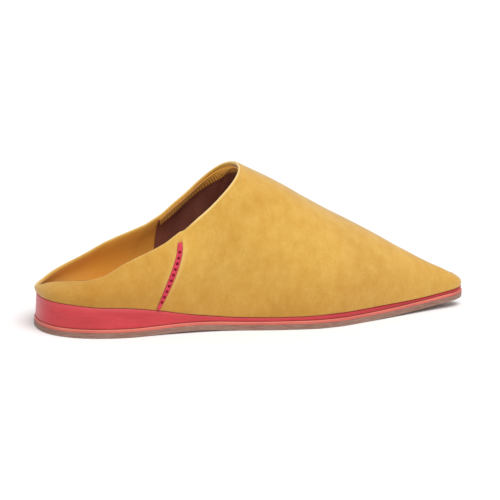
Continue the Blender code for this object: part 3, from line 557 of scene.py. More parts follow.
def loop_of_wire(centre, toward, across, half_length, half_width, wire, turns=20, sides=8):
    """Points and faces of a round or oval ring of wire, lying in the plane of its two directions."""
    normal = toward.cross(across)
    points = []
    for i in range(turns):
        angle = 2 * math.pi * i / turns
        middle = centre + toward * half_length * math.cos(angle) + across * half_width * math.sin(angle)
        tangent = -toward * half_length * math.sin(angle) + across * half_width * math.cos(angle)
        outer = tangent.cross(normal).normalized()
        for j in range(sides):
            spin = 2 * math.pi * (j + 0.5) / sides
            points.append(middle + 0.5 * wire * (outer * math.cos(spin) + normal * math.sin(spin)))
    faces = []
    for i in range(turns):
        k = (i + 1) % turns
        for j in range(sides):
            m = (j + 1) % sides
            faces.append((i * sides + j, k * sides + j, k * sides + m, i * sides + m))
    return points, faces


def turned(centre, axis, profile, sides):
    """Points and faces of a solid turned about an axis: rows of distance along it and radius."""
    first = axis.orthogonal().normalized()
    second = axis.cross(first)
    points = []
    for along, radius in profile:
        for j in range(sides):
            spin = 2 * math.pi * j / sides
            points.append(centre + axis * along + radius * (first * math.cos(spin) + second * math.sin(spin)))
    faces = strips(len(profile), sides)
    faces += [tuple(range(sides)), tuple(range((len(profile) - 1) * sides, len(profile) * sides))]
    return points, faces


def bail_start():
    """Distance from the ring's middle down to the middle of the wire at the bail's top."""
    return RING_RADIUS + 0.5 * RING_WIRE + LOOP_GAP + 0.5 * BAIL_WIRE


# Lining: where its back edges stand, its gap to the upper and its thickness
LINING_AT = 0.0787
LINING_GAP = 0.00012
LINING_THICKNESS = 0.00045

# Band's pleats, side seam's stitches, and how far they press the strip down
PLEAT_PITCH = 0.0018
PLEAT_HEIGHT = 0.00032
STITCH_PITCH = 0.0034
STITCHES_FROM = 1.4
STITCH_LENGTH = 0.0017
STITCH_WIDTH = 0.0018
WELT_DIP = 0.00025

# Upper's hide: the height of its waves, how far its foot tucks under, and the lip's round at the
# collar beside the solid's, with its turns and how many of them carry a painted highlight
HIDE_WAVE = 0.00028
FOOT_TUCK = 0.00045
LIP_ROUND_SHARE = 1.35
LIP_TURNS = 7
LIP_HIGHLIGHT_TURNS = 3

# Painted shade on the nap: along the foot of the wall, faded out towards the toe, and over the
# heel quarter, faded in from the back and out before the side seam
FOOT_SHADE = 0.45
FOOT_SHADE_HEIGHT = 0.036
FOOT_SHADE_EASE = 1.3
TOE_PALE_AT = 0.262
TOE_PALE_LENGTH = 0.090
QUARTER_SHADE = 0.22
QUARTER_SHADE_FADE = 0.030
BACK_SHADE_FADE = 0.020

# Painted highlights on the nap: outside at the heel's back, painted light inside it, along the
# collar's edge behind the side seam and more ahead of it, and down from the ridge; lengths are
# shares of the way round or of the wall
HEEL_HIGHLIGHT = 0.45
HEEL_HIGHLIGHT_SHARE = 0.13
HEEL_INSIDE_LIGHT = 0.8
HEEL_INSIDE_LIGHT_SHARE = 0.20
COLLAR_HIGHLIGHT = 0.15
VAMP_HIGHLIGHT_MORE = 0.75
VAMP_HIGHLIGHT_FADE_SHARE = 0.02
COLLAR_HIGHLIGHT_SHARE = 0.03
RIDGE_HIGHLIGHT = 0.25
RIDGE_HIGHLIGHT_SHARE = 0.10

# Edge paint: the height of its waves, and where the wedge's painted highlight stops and its paint
# starts to deepen
EDGE_PAINT_WAVE = 0.00006
WEDGE_HIGHLIGHT_TO = 0.110
WEDGE_HIGHLIGHT_FADE = 0.050
WEDGE_DEEP_FROM = 0.140
WEDGE_DEEP_FADE = 0.080

# Footbed: how far the foot pressed its middle down, how far its edge rounds off, and its waves
FOOTBED_PRESS = 0.00035
FOOTBED_ROUND = 0.0005
FOOTBED_ROUND_SHARE = 0.03
FOOTBED_WAVE = 0.0001

# Charm's real links, the arrowhead's worn edges, and its ribs' height, sink and draw to its tip
LINK_HALF_WIDTH = 0.00062
LINK_PLAY = 0.00003
ARROW_EDGE_WEAR = 0.00016
RIB_HEIGHT = 0.00034
RIB_SINK = 0.00005
RIB_DRAW_SHARE = 0.45

# The arrowhead's ribs: how far across, and start and end, as shares of its width and length
RIB_ROWS = (
    (-0.16, 0.26, 0.56),
    (0.00, 0.22, 0.70),
    (0.16, 0.26, 0.56),
)

# Waves of the hide: length, height as a share of the first one's, and where the pattern starts
HIDE_WAVE_ROWS = (
    (0.0340, 1.00, 0.0),
    (0.0120, 0.35, 0.3),
    (0.0045, 0.10, 0.7),
)

# Across the side seam: distance from its middle in half widths, and height as a share of the lip's
SEAM_ROWS = (
    (-3.10, 0.00),
    (-2.40, 0.10),
    (-1.80, 0.30),
    (-1.40, 0.55),
    (-1.15, 0.35),
    (-1.02, -0.50),
    (-0.97, -1.80),
    (0.97, -1.80),
    (1.02, -0.30),
    (1.14, 0.95),
    (1.40, 1.10),
    (1.90, 0.70),
    (2.50, 0.30),
    (3.10, 0.00),
)

# Soft troughs and ridges pressed into the hide: side, then share of the way round and share of the
# wall at both ends, then half width and depth in metres (a ridge's depth is negative)
CREASE_ROWS = (
    (-1, 0.070, 0.60, 0.215, 0.70, 0.0032, 0.00055),
    (-1, 0.060, 0.86, 0.205, 0.90, 0.0026, -0.00040),
    (-1, 0.285, 0.80, 0.300, 0.30, 0.0055, 0.00035),
    (-1, 0.360, 0.72, 0.470, 0.46, 0.0080, 0.00035),
    (-1, 0.400, 0.50, 0.520, 0.28, 0.0090, -0.00030),
    (-1, 0.800, 0.60, 0.870, 0.32, 0.0050, 0.00030),
    (1, 0.075, 0.62, 0.190, 0.68, 0.0032, 0.00045),
    (1, 0.300, 0.75, 0.330, 0.25, 0.0060, 0.00030),
    (1, 0.420, 0.78, 0.540, 0.50, 0.0085, 0.00035),
    (1, 0.780, 0.62, 0.860, 0.30, 0.0055, 0.00028),
)

# Outsole's edge from the floor up: how far in, height, leather (0) or paint (1), and how pale
SOLE_EDGE_ROWS = (
    (0.00110, 0.00000, 0, 0.1),
    (0.00050, 0.00006, 0, 0.6),
    (0.00018, 0.00022, 0, 0.8),
    (0.00003, 0.00050, 0, 0.5),
    (0.00000, 0.00120, 0, 0.1),
    (0.00002, 0.00220, 0, 0.0),
    (0.00000, 0.00305, 0, 0.2),
    (0.00022, 0.00326, 0, 0.0),
    (0.00022, 0.00334, 1, 0.0),
    (0.00000, 0.00355, 1, 0.3),
    (0.00000, 0.00420, 1, 0.0),
    (0.00006, 0.00475, 1, 0.3),
    (0.00020, 0.00498, 1, 0.9),
    (0.00050, 0.00510, 1, 0.8),
)

# Wedge's edge: share of its height, distance up from there, how far in, and its painted highlight
WEDGE_EDGE_ROWS = (
    (0.00, 0.00000, 0.00030, 0.0),
    (0.00, 0.00008, 0.00012, 0.1),
    (0.00, 0.00022, 0.00002, 0.1),
    (0.14, 0.00000, 0.00000, 0.0),
    (0.30, 0.00000, 0.00000, 0.0),
    (0.45, 0.00000, 0.00000, 0.0),
    (0.60, 0.00000, 0.00000, 0.0),
    (0.75, 0.00000, 0.00000, 0.0),
    (0.88, 0.00000, 0.00000, 0.3),
    (1.00, -0.00034, 0.00000, 0.8),
    (1.00, -0.00016, 0.00008, 1.0),
    (1.00, -0.00004, 0.00024, 1.0),
    (1.00, 0.00000, 0.00050, 0.7),
)

wedge_flare = curve_through(FLARE_ROWS, 1)
seam_relief = curve_through(SEAM_ROWS, 1)
TO_WORLD = Vector((-HEEL_SPOT_AT, 0, 0))


def piece(
    name, points, faces, materials, node=None, slot=None, body="shoe", kinds=None, marks=None, sharp=38
):
    """A shown mesh that rides on a body, stands for a node, and carries marks for its material."""
    mesh = bpy.data.meshes.new(name)
    mesh.from_pydata([tuple(point + TO_WORLD) for point in points], [], faces)
    for material in materials:
        mesh.materials.append(material)
    if kinds:
        mesh.polygons.foreach_set("material_index", kinds)
    shell = bmesh.new()
    shell.from_mesh(mesh)
    bmesh.ops.recalc_face_normals(shell, faces=shell.faces)
    shell.to_mesh(mesh)
    shell.free()
    for mark, values in (marks or {}).items():
        mesh.attributes.new(mark, "FLOAT", "POINT").data.foreach_set("value", values)
    mesh.shade_smooth()
    mesh.set_sharp_from_angle(angle=math.radians(sharp))
    made = bpy.data.objects.new(name, mesh)
    bpy.context.collection.objects.link(made)
    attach(made, body)
    if node:
        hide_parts(node)
    return made


def rough(point, size, seed=0.0):
    """Smooth unevenness between about -1 and 1 that repeats at no place, its waves this long."""
    return noise.noise(Vector((point.x + seed, point.y - seed, point.z + 2 * seed)) / size)


def near_segment(point, start, end):
    """Distance to a straight line between two points, and the share of the way along it."""
    line = end - start
    share = min(max((point - start).dot(line) / line.length_squared, 0.0), 1.0)
    return (point - start - share * line).length, share


class Graph:
    """A material's nodes, made by short calls."""

    def __init__(self, name, roughness, metallic=0.0):
        self.material = bpy.data.materials.new(name)
        self.material.use_nodes = True
        self.tree = self.material.node_tree
        self.shader = self.tree.nodes["Principled BSDF"]
        self.place = self.tree.nodes.new("ShaderNodeTexCoord").outputs["Object"]
        self.set("Roughness", roughness)
        self.set("Metallic", metallic)

    def set(self, socket, value):
        if isinstance(value, bpy.types.NodeSocket):
            self.tree.links.new(value, self.shader.inputs[socket])
        else:
            self.shader.inputs[socket].default_value = value

    def node(self, kind, inputs, output=0, **options):
        made = self.tree.nodes.new(kind)
        for option, value in options.items():
            setattr(made, option, value)
        for socket, value in inputs.items():
            if isinstance(value, bpy.types.NodeSocket):
                self.tree.links.new(value, made.inputs[socket])
            else:
                made.inputs[socket].default_value = value
        return made.outputs[output]

    def stretched(self, x, y, z):
        """The place, stretched so that a texture's waves are this long in each direction."""
        inputs = {"Vector": self.place, "Scale": (1 / x, 1 / y, 1 / z)}
        return self.node("ShaderNodeMapping", inputs)

    def noise(self, size, detail=3.0, rough_share=0.55, stretch=(1, 1, 1)):
        """Noise with waves about this long, in metres."""
        vector = self.stretched(*(size * along for along in stretch))
        inputs = {"Vector": vector, "Scale": 1.0, "Detail": detail, "Roughness": rough_share}
        return self.node("ShaderNodeTexNoise", inputs)

    def cells(self, size, feature="F1"):
        inputs = {"Vector": self.stretched(size, size, size), "Scale": 1.0}
        return self.node("ShaderNodeTexVoronoi", inputs, feature=feature)

    def mark(self, name):
        return self.node("ShaderNodeAttribute", {}, 2, attribute_name=name)

    def between(self, value, low, high, start=0.0, end=1.0):
        """The value moved from one range to another and held inside it."""
        inputs = {0: value, 1: low, 2: high, 3: start, 4: end}
        return self.node("ShaderNodeMapRange", inputs)

    def maths(self, operation, first, second):
        return self.node("ShaderNodeMath", {0: first, 1: second}, operation=operation)

    def mix(self, share, first, second, blend="MIX"):
        """Two colours mixed; each is a colour or a socket."""
        wide = [first, second]
        for place, value in enumerate(wide):
            if not isinstance(value, bpy.types.NodeSocket):
                wide[place] = (*value, 1.0)
        inputs = {0: share, 6: wide[0], 7: wide[1]}
        return self.node("ShaderNodeMix", inputs, 2, data_type="RGBA", blend_type=blend)

    def bump(self, height, strength, distance, below=None):
        inputs = {"Height": height, "Strength": strength, "Distance": distance}
        if below:
            inputs["Normal"] = below
        return self.node("ShaderNodeBump", inputs)


def suede(name, light, middle, deep, sheen, tint):
    """Napped hide: clouds of brushed nap, short fibres, painted highlights and painted shade where its marks
    say, and a soft sheen.
    """
    graph = Graph(name, 0.92)
    clouds = graph.between(graph.noise(0.030, 3.0, 0.6), 0.30, 0.70)
    brushed = graph.between(graph.noise(0.0075, 4.0, 0.65, (0.9, 0.9, 1.3)), 0.30, 0.70)
    fibres = graph.noise(0.0011, 3.0, 0.7, (0.7, 1.0, 1.9))
    specks = graph.noise(0.00042, 2.0, 0.6)
    colour = graph.mix(graph.between(clouds, 0.0, 1.0, 0.15, 1.0), deep, middle)
    colour = graph.mix(graph.between(brushed, 0.0, 1.0, 0.0, 0.45), colour, light)
    colour = graph.mix(graph.between(fibres, 0.35, 0.70, 0.38, 0.0), colour, deep)
    colour = graph.mix(graph.between(specks, 0.55, 0.80, 0.0, 0.50), colour, light)
    # Painted highlight and painted light: paler towards the pale colour where the mark is set.
    colour = graph.mix(graph.between(graph.mark("highlight_and_wear"), 0.0, 1.0, 0.0, 0.85), colour, HIGHLIGHT_SUEDE)
    # Painted shade: darker towards a deeper tint where the shade mark is below one.
    shaded = graph.mix(1.0, colour, SUEDE_SHADE, "MULTIPLY")
    graph.set("Base Color", graph.mix(graph.mark("shade"), shaded, colour))
    nap = graph.bump(fibres, 0.55, 0.00028)
    nap = graph.bump(specks, 0.40, 0.00012, nap)
    graph.set("Normal", graph.bump(brushed, 0.25, 0.0005, nap))
    graph.set("Sheen Weight", sheen)
    graph.set("Sheen Roughness", 0.38)
    graph.set("Sheen Tint", (*tint, 1.0))
    graph.set("Specular IOR Level", 0.18)
    return graph.material


def edge_paint(name, full, deep, pale, coat):
    """Paint on cut leather: brushed along the edge, with the stacked layers just felt under it."""
    graph = Graph(name, 0.42)
    graph.set("Specular IOR Level", 0.35)
    clouds = graph.between(graph.noise(0.012, 3.0, 0.6, (2.2, 2.2, 0.7)), 0.30, 0.70)
    strokes = graph.noise(0.0016, 3.0, 0.6, (9.0, 9.0, 0.55))
    pores = graph.cells(0.0009)
    colour = graph.mix(clouds, deep, full)
    colour = graph.mix(graph.between(strokes, 0.50, 0.80, 0.0, 0.22), colour, pale)
    # Paler where the mark is set: a painted highlight on the wedge's top edge, and the outsole's paint paler
    # at its rounded edges.
    colour = graph.mix(graph.between(graph.mark("highlight_and_wear"), 0.0, 1.0, 0.0, 0.55), colour, pale)
    deeper = graph.mix(1.0, colour, PAINT_SHADE, "MULTIPLY")
    graph.set("Base Color", graph.mix(graph.mark("deep"), colour, deeper))
    graph.set("Roughness", graph.between(strokes, 0.3, 0.7, 0.36, 0.52))
    layers = graph.bump(strokes, 0.35, 0.00015)
    graph.set("Normal", graph.bump(pores, 0.12, 0.00010, layers))
    graph.set("Coat Weight", coat)
    graph.set("Coat Roughness", 0.22)
    return graph.material


def cut_leather(name, full, deep, pale):
    """The bare edge or grain of firm sole leather."""
    graph = Graph(name, 0.55)
    clouds = graph.between(graph.noise(0.018, 4.0, 0.6), 0.30, 0.70)
    fibres = graph.noise(0.0010, 3.0, 0.65, (7.0, 7.0, 0.6))
    pores = graph.cells(0.0007)
    colour = graph.mix(clouds, deep, full)
    colour = graph.mix(graph.between(fibres, 0.40, 0.72, 0.0, 0.55), colour, pale)
    colour = graph.mix(graph.between(graph.mark("highlight_and_wear"), 0.0, 1.0, 0.0, 0.50), colour, pale)
    graph.set("Base Color", colour)
    graph.set("Roughness", graph.between(clouds, 0.0, 1.0, 0.62, 0.48))
    grain = graph.bump(fibres, 0.45, 0.00018)
    graph.set("Normal", graph.bump(pores, 0.25, 0.00010, grain))
    return graph.material


def lining_leather(name, full, deep):
    """Thin dark lining leather with a fine pebbled grain and a low shine."""
    graph = Graph(name, 0.50)
    clouds = graph.between(graph.noise(0.014, 3.0, 0.6), 0.30, 0.70)
    pebbles = graph.cells(0.0011, "SMOOTH_F1")
    colour = graph.mix(clouds, deep, full)
    colour = graph.mix(graph.between(pebbles, 0.1, 0.7, 0.0, 0.30), colour, deep)
    graph.set("Base Color", colour)
    graph.set("Roughness", graph.between(pebbles, 0.0, 0.8, 0.42, 0.62))
    graph.set("Normal", graph.bump(pebbles, 0.40, 0.00016))
    return graph.material


def thread(name, full, deep):
    """Waxed thread, its twist showing as fine slanting ridges."""
    graph = Graph(name, 0.75)
    graph.set("Specular IOR Level", 0.15)
    twist = graph.noise(0.0005, 2.0, 0.5, (0.6, 0.6, 2.0))
    graph.set("Base Color", graph.mix(graph.between(twist, 0.35, 0.65), deep, full))
    graph.set("Normal", graph.bump(twist, 0.5, 0.00010))
    return graph.material


def steel(name, pale, dull, roughness, tarnish):
    """Polished white metal with faint hairlines, dulled where a hand doesn't reach."""
    graph = Graph(name, roughness, 1.0)
    hairs = graph.noise(0.0006, 2.0, 0.6, (0.5, 3.0, 3.0))
    film = graph.between(graph.noise(0.0025, 4.0, 0.65), 0.40, 0.70, 0.0, tarnish)
    graph.set("Base Color", graph.mix(film, pale, dull))
    graph.set("Roughness", graph.between(hairs, 0.3, 0.7, roughness, roughness + 0.14))
    graph.set("Normal", graph.bump(hairs, 0.06, 0.00004))
    return graph.material


def plain(start, end, count):
    return [(share, None) for share in spread(start, end, count)]


def upper_columns():
    """(share, offset from the seam's middle in half widths or None) down one side of the upper."""
    near_seam = SEAM_CLEAR_SHARE * (SEAM_SHARE - HEEL_SHARE)
    columns = plain(0.0, HEEL_SHARE, 56) + plain(HEEL_SHARE, SEAM_SHARE - near_seam, 14)
    columns += [(SEAM_SHARE - near_seam, None)]
    columns += [(SEAM_SHARE, offset) for offset, _ in SEAM_ROWS]
    columns += plain(SEAM_SHARE + near_seam, THROAT_SHARE, 76)
    columns += plain(THROAT_SHARE, 1 - TOE_SHARE, 96)
    return columns + plain(1 - TOE_SHARE, 1.0, 24) + [(1.0, None)]


def column_share(column, side, up_share):
    """The share of the way round at which a column stands, its own offset counted in."""
    share, offset = column
    if offset is None:
        return share
    half_width, _ = seam_half_width(up_share)
    _, scale = wall_frame(SEAM_SHARE, side, up_share)
    return share + offset * half_width / scale


def creases(side):
    """The side's troughs and ridges as lines in space."""
    found = []
    for row_side, share, up_share, end_share, end_up_share, width, depth in CREASE_ROWS:
        if row_side == side:
            start = wall_point(share, side, up_share)
            end = wall_point(end_share, side, end_up_share)
            found.append((start, end, width, depth))
    return found


def hide_height(point, lines):
    """How far the hide stands out of its plain shape at a point."""
    height = HIDE_WAVE * sum(part * rough(point, size, seed) for size, part, seed in HIDE_WAVE_ROWS)
    for start, end, width, depth in lines:
        away, along = near_segment(point, start, end)
        if away < 3 * width:
            taper = math.sin(math.pi * (0.08 + 0.84 * along))
            height -= depth * taper * math.exp(-((away / width) ** 2))
    return height


def foot_rows(section, count):
    """(share of the wall, how far in) up a section, its foot tucked under in a small round."""
    speed = 3 * (section[1] - section[0]).length
    near_foot = [(0.0, 1.0), (0.00012, 0.42), (0.00035, 0.10), (0.00080, 0.0)]
    rows = [(min(height / speed, 0.2), FOOT_TUCK * tuck) for height, tuck in near_foot]
    first = rows[-1][0]
    return rows + [(first + (1 - first) * (i + 1) / count, 0.0) for i in range(count)]


def outer_skin(columns, count):
    """Rows of points of the upper's outer face for each side, and how worn each one is."""
    skins = {}
    for side in (-1, 1):
        lines = creases(side)
        skin = []
        for column in columns:
            share, offset = column
            rows = foot_rows(wall_section(share, side), count)
            strand = []
            for up_share, tuck in rows:
                if offset is None:
                    point = wall_point(share, side, up_share)
                    lens = relief = 0.0
                else:
                    half_width, lens = seam_half_width(up_share)
                    relief = SEAM_LIP * lens * seam_relief(offset)
                    point = seam_point(side, up_share, offset * half_width, relief)
                on_wall = column_share(column, side, up_share)
                strand.append((point - tuck * outward(share, side), on_wall, up_share, lens, relief))
            skin.append(strand)
        skins[side] = raised(skin, side, lines)
    return skins


def raised(skin, side, lines):
    """The skin with its creases and waves, each point moved along the face's own normal."""
    made = []
    for i, strand in enumerate(skin):
        row = []
        for j, (point, share, up_share, lens, relief) in enumerate(strand):
            ahead = skin[min(i + 1, len(skin) - 1)][j][0] - skin[max(i - 1, 0)][j][0]
            above = strand[min(j + 1, len(strand) - 1)][0] - strand[max(j - 1, 0)][0]
            normal = ahead.cross(above) * -side
            fade = min(up_share / 0.06, 1.0)
            if share < THROAT_SHARE:
                fade *= min((1 - up_share) / 0.05, 1.0)
            else:
                normal.y *= min((1 - up_share) / 0.05, 1.0)
            height = fade * (1 - lens) * hide_height(point, lines)
            # Painted highlight on the seam's raised lips, along the collar and the ridge and at the heel's
            # back.
            lip = max(relief / SEAM_LIP, 0.0)
            paler = max(highlight_at(share, up_share), 0.35 * lip)
            # Painted shade near the wedge and over the heel quarter.
            row.append((point + height * normal.normalized(), paler, shade_at(point)))
        made.append(row)
    return made


def highlight_at(share, up_share):
    """Painted highlight along the vamp's edge and at the back of the heel, and a little down the ridge."""
    if share <= THROAT_SHARE:
        ahead = min(max((share - SEAM_SHARE) / VAMP_HIGHLIGHT_FADE_SHARE, 0.0), 1.0)
        heel = HEEL_HIGHLIGHT * max(1 - share / HEEL_HIGHLIGHT_SHARE, 0.0)
        edge = max(1 - (1 - up_share) / COLLAR_HIGHLIGHT_SHARE, 0.0) ** 2
        return (COLLAR_HIGHLIGHT + VAMP_HIGHLIGHT_MORE * ahead) * edge + heel * up_share
    return RIDGE_HIGHLIGHT * max(1 - (1 - up_share) / RIDGE_HIGHLIGHT_SHARE, 0.0)


def shade_at(point):
    """How little painted shade darkens the nap there: more of it near the wedge and over the heel quarter."""
    above = point.z - seat_height(point.x)
    behind = min(max((SEAM_TOP_AT - point.x) / QUARTER_SHADE_FADE, 0.0), 1.0)
    behind *= min(max(point.x / BACK_SHADE_FADE, 0.0), 1.0)
    ahead = min(max((TOE_PALE_AT - point.x) / TOE_PALE_LENGTH, 0.0), 1.0)
    foot = FOOT_SHADE * ahead * max(1 - above / FOOT_SHADE_HEIGHT, 0.0) ** FOOT_SHADE_EASE
    return 1 - foot - QUARTER_SHADE * behind


def build_upper(outside, inside):
    """The hollow upper: outer and inner skin joined by a rounded lip at the collar and underneath."""
    columns = upper_columns()
    rows = {"outer": 56, "inner": 22}
    tops = {"outer": rows["outer"] + 3, "inner": rows["inner"]}
    outer = outer_skin(columns, rows["outer"])
    loop = [(i, -1) for i in range(len(columns))]
    loop += [(i, 1) for i in range(len(columns) - 2, 0, -1)]
    count = len(loop)
    points, highlight_and_wear, shade = [], [], []

    def add(point, paler=0.0, darker=1.0):
        points.append(point)
        highlight_and_wear.append(paler)
        shade.append(darker)
        return len(points) - 1

    grids = {}
    for skin, top in tops.items():
        grid = {}
        for place, (i, side) in enumerate(loop):
            for j in range(top + 1):
                twin = (count - place) % count
                if j == top and columns[i][0] >= THROAT_SHARE and twin < place:
                    grid[place, j] = grid[twin, j]
                elif skin == "outer":
                    grid[place, j] = add(*outer[side][i][j])
                else:
                    up_share = j / top
                    share = column_share(columns[i], side, up_share)
                    # Painted light inside the heel: the inner face drawn paler there, where the hollow lies
                    # in shade.
                    paler = HEEL_INSIDE_LIGHT * max(1 - share / HEEL_INSIDE_LIGHT_SHARE, 0.0)
                    grid[place, j] = add(wall_point(share, side, up_share, UPPER_WALL), paler)
        grids[skin] = grid
    outer_grid, inner_grid = grids["outer"], grids["inner"]
    faces, kinds = [], []
    for place in range(count):
        after = (place + 1) % count
        for kind, (skin, top) in enumerate(tops.items()):
            grid = grids[skin]
            for j in range(top):
                quad = (grid[place, j], grid[after, j], grid[after, j + 1], grid[place, j + 1])
                faces.append(tuple(dict.fromkeys(quad)))
                kinds.append(kind)
        faces.append((outer_grid[place, 0], outer_grid[after, 0], inner_grid[after, 0], inner_grid[place, 0]))
        kinds.append(0)
    on_collar = [place for place, (i, _) in enumerate(loop) if columns[i][0] <= THROAT_SHARE]
    collar = sorted(on_collar, key=lambda place: (place + count // 2) % count)
    middle = points[outer_grid[collar[0], tops["outer"]]]
    lip = {}
    for k, place in enumerate(collar):
        if k == len(collar) - 1:
            lip[place] = lip[collar[0]]
            continue
        before, after = collar[max(k - 1, 0)], collar[k + 1]
        edge = points[outer_grid[place, tops["outer"]]]
        inner_edge = points[inner_grid[place, tops["inner"]]]
        along = points[outer_grid[after, tops["outer"]]] - points[outer_grid[before, tops["outer"]]]
        if k == 0:
            along = Vector((0, 1, 0))
        below = edge - points[outer_grid[place, tops["outer"] - 4]]
        lift = along.cross(inner_edge - edge).normalized()
        lift *= 1 if lift.dot(below) > 0 else -1
        centre, half = 0.5 * (edge + inner_edge), 0.5 * (edge - inner_edge)
        loop_share = columns[loop[place][0]][0]
        ring = []
        for turn in range(1, LIP_TURNS):
            angle = math.pi * turn / LIP_TURNS
            at = centre + half * math.cos(angle) + LIP_ROUND_SHARE * COLLAR_LIP * lift * math.sin(angle)
            # Painted highlight on the lip's outer turns, next to none on its inner ones.
            ring.append(add(at, highlight_at(loop_share, 1.0) if turn <= LIP_HIGHLIGHT_TURNS else 0.05))
        lip[place] = ring
    for place, after in zip(collar, collar[1:]):
        start = [outer_grid[place, tops["outer"]], *lip[place], inner_grid[place, tops["inner"]]]
        end = [outer_grid[after, tops["outer"]], *lip[after], inner_grid[after, tops["inner"]]]
        for j in range(len(start) - 1):
            faces.append((start[j], end[j], end[j + 1], start[j + 1]))
            kinds.append(0)
    marks = {"highlight_and_wear": highlight_and_wear, "shade": shade}
    return piece("upper_suede", points, faces, [outside, inside], "upper", None, "shoe", kinds, marks, 60)


def lining_start(side, up_share):
    """The share of the way round at which the inner face passes the lining's back edge."""
    low, high = SEAM_SHARE - 0.08, SEAM_SHARE + 0.10
    for _ in range(18):
        middle = 0.5 * (low + high)
        if wall_point(middle, side, up_share, UPPER_WALL).x < LINING_AT:
            low = middle
        else:
            high = middle
    return low


def build_lining(material):
    """Thin leather on the vamp's inside, from its straight back edges to the toe."""
    rows, ahead, ridge, toe = 26, 44, 60, 12
    near = UPPER_WALL + LINING_GAP
    depths = (near, near + LINING_THICKNESS)
    ways = [(0, way) for way in spread(0.0, 1.0, ahead)]
    ways += [(1, share) for share in spread(THROAT_SHARE, 1 - TOE_SHARE, ridge)]
    ways += [(1, share) for share in spread(1 - TOE_SHARE, 1.0, toe)] + [(1, 1.0)]
    starts = {(side, j): lining_start(side, 0.96 * j / rows) for side in (-1, 1) for j in range(rows + 1)}
    loop = [(way, -1) for way in ways] + [(way, 1) for way in reversed(ways[:-1])]
    count = len(loop)
    points = []
    grids = []
    for depth in depths:
        grid = {}
        for place, ((on_ridge, value), side) in enumerate(loop):
            twin = count - 1 - place
            for j in range(rows + 1):
                up_share = 0.01 + 0.99 * j / rows
                if on_ridge:
                    share = value
                else:
                    share = starts[side, j] + (THROAT_SHARE - starts[side, j]) * value
                    up_share = 0.01 + (0.95 + 0.04 * min(max(10 * value - 9, 0.0), 1.0)) * j / rows
                if j == rows and on_ridge and twin < place:
                    grid[place, j] = grid[twin, j]
                    continue
                grid[place, j] = len(points)
                points.append(wall_point(share, side, up_share, depth))
        grids.append(grid)
    near_grid, far_grid = grids
    faces = []
    for place in range(count - 1):
        after = place + 1
        for j in range(rows):
            for grid in grids:
                quad = (grid[place, j], grid[after, j], grid[after, j + 1], grid[place, j + 1])
                faces.append(tuple(dict.fromkeys(quad)))
        faces.append((near_grid[place, 0], near_grid[after, 0], far_grid[after, 0], far_grid[place, 0]))
        if not (loop[place][0][0] and loop[after][0][0]):
            near_top = (near_grid[place, rows], near_grid[after, rows])
            faces.append((*near_top, far_grid[after, rows], far_grid[place, rows]))
    for place in (0, count - 1):
        for j in range(rows):
            near_back = (near_grid[place, j], near_grid[place, j + 1])
            faces.append((*near_back, far_grid[place, j + 1], far_grid[place, j]))
    return piece("lining", points, faces, [material], None, "upper")


def build_band(material):
    """Suede turned in under the collar, gathered into small pleats down to its lower edge."""
    start = SEAM_SHARE + FACING_START_SHARE * (THROAT_SHARE - SEAM_SHARE)
    steps = 330
    shares = spread(start, THROAT_SHARE, steps)
    loop = [(share, -1) for share in shares] + [(THROAT_SHARE, -1)]
    loop += [(share, 1) for share in reversed(shares)]
    edge = [wall_point(share, side, 1.0, UPPER_WALL) for share, side in loop]
    length = 0.0
    near = UPPER_WALL + FACING_GAP
    far = near + 0.6 * FACING_THICKNESS
    across_rows = (0.0, 0.12, 0.25, 0.40, 0.55, 0.70, 0.85, 0.97, 1.0)
    points, highlight_and_wear, shade = [], [], []
    for k, (share, side) in enumerate(loop):
        length += (edge[k] - edge[max(k - 1, 0)]).length
        drift = 0.35 * rough(edge[k], 0.011)
        pleat = 0.5 + 0.5 * math.cos(2 * math.pi * (length / PLEAT_PITCH + drift))
        for layer in (0, 1):
            for across in across_rows if layer else tuple(reversed(across_rows)):
                ridge = pleat * min(across / 0.35, 1.0)
                reach = FACING_SETBACK_SHARE * 0.5 + across * (0.95 + 0.05 * pleat)
                depth = far + PLEAT_HEIGHT * ridge if layer else near
                points.append(facing_point(share, side, reach, depth))
                # Painted highlight on the pleats' ridges, painted shade in their valleys towards the lower
                # edge and over the whole back layer.
                highlight_and_wear.append(0.25 * ridge if layer else 0.0)
                lower = min(max(across - 0.30, 0.0) / 0.40, 1.0)
                shade.append(1 - 0.80 * (1 - pleat) * lower if layer else 0.6)
    width = 2 * len(across_rows)
    faces = strips(len(loop), width)
    last = width * (len(loop) - 1)
    faces += [tuple(range(width)), tuple(range(last + width - 1, last - 1, -1))]
    marks = {"highlight_and_wear": highlight_and_wear, "shade": shade}
    return piece("collar_band", points, faces, [material], "collar_facing", None, "shoe", None, marks, 70)


def stitch_places():
    """Shares of the wall's height at which the side seam is stitched, evenly spaced along it."""
    steps = 200
    length, start, places = 0.0, None, []
    for i in range(steps + 1):
        up_share = STRIP_FOOT_SHARE + (STRIP_TOP_SHARE - STRIP_FOOT_SHARE) * i / steps
        point = wall_point(SEAM_SHARE, -1, up_share)
        length += (point - start).length if start else 0.0
        start = point
        if length > STITCH_PITCH * (len(places) + STITCHES_FROM):
            places.append(up_share)
    return places[:-1]


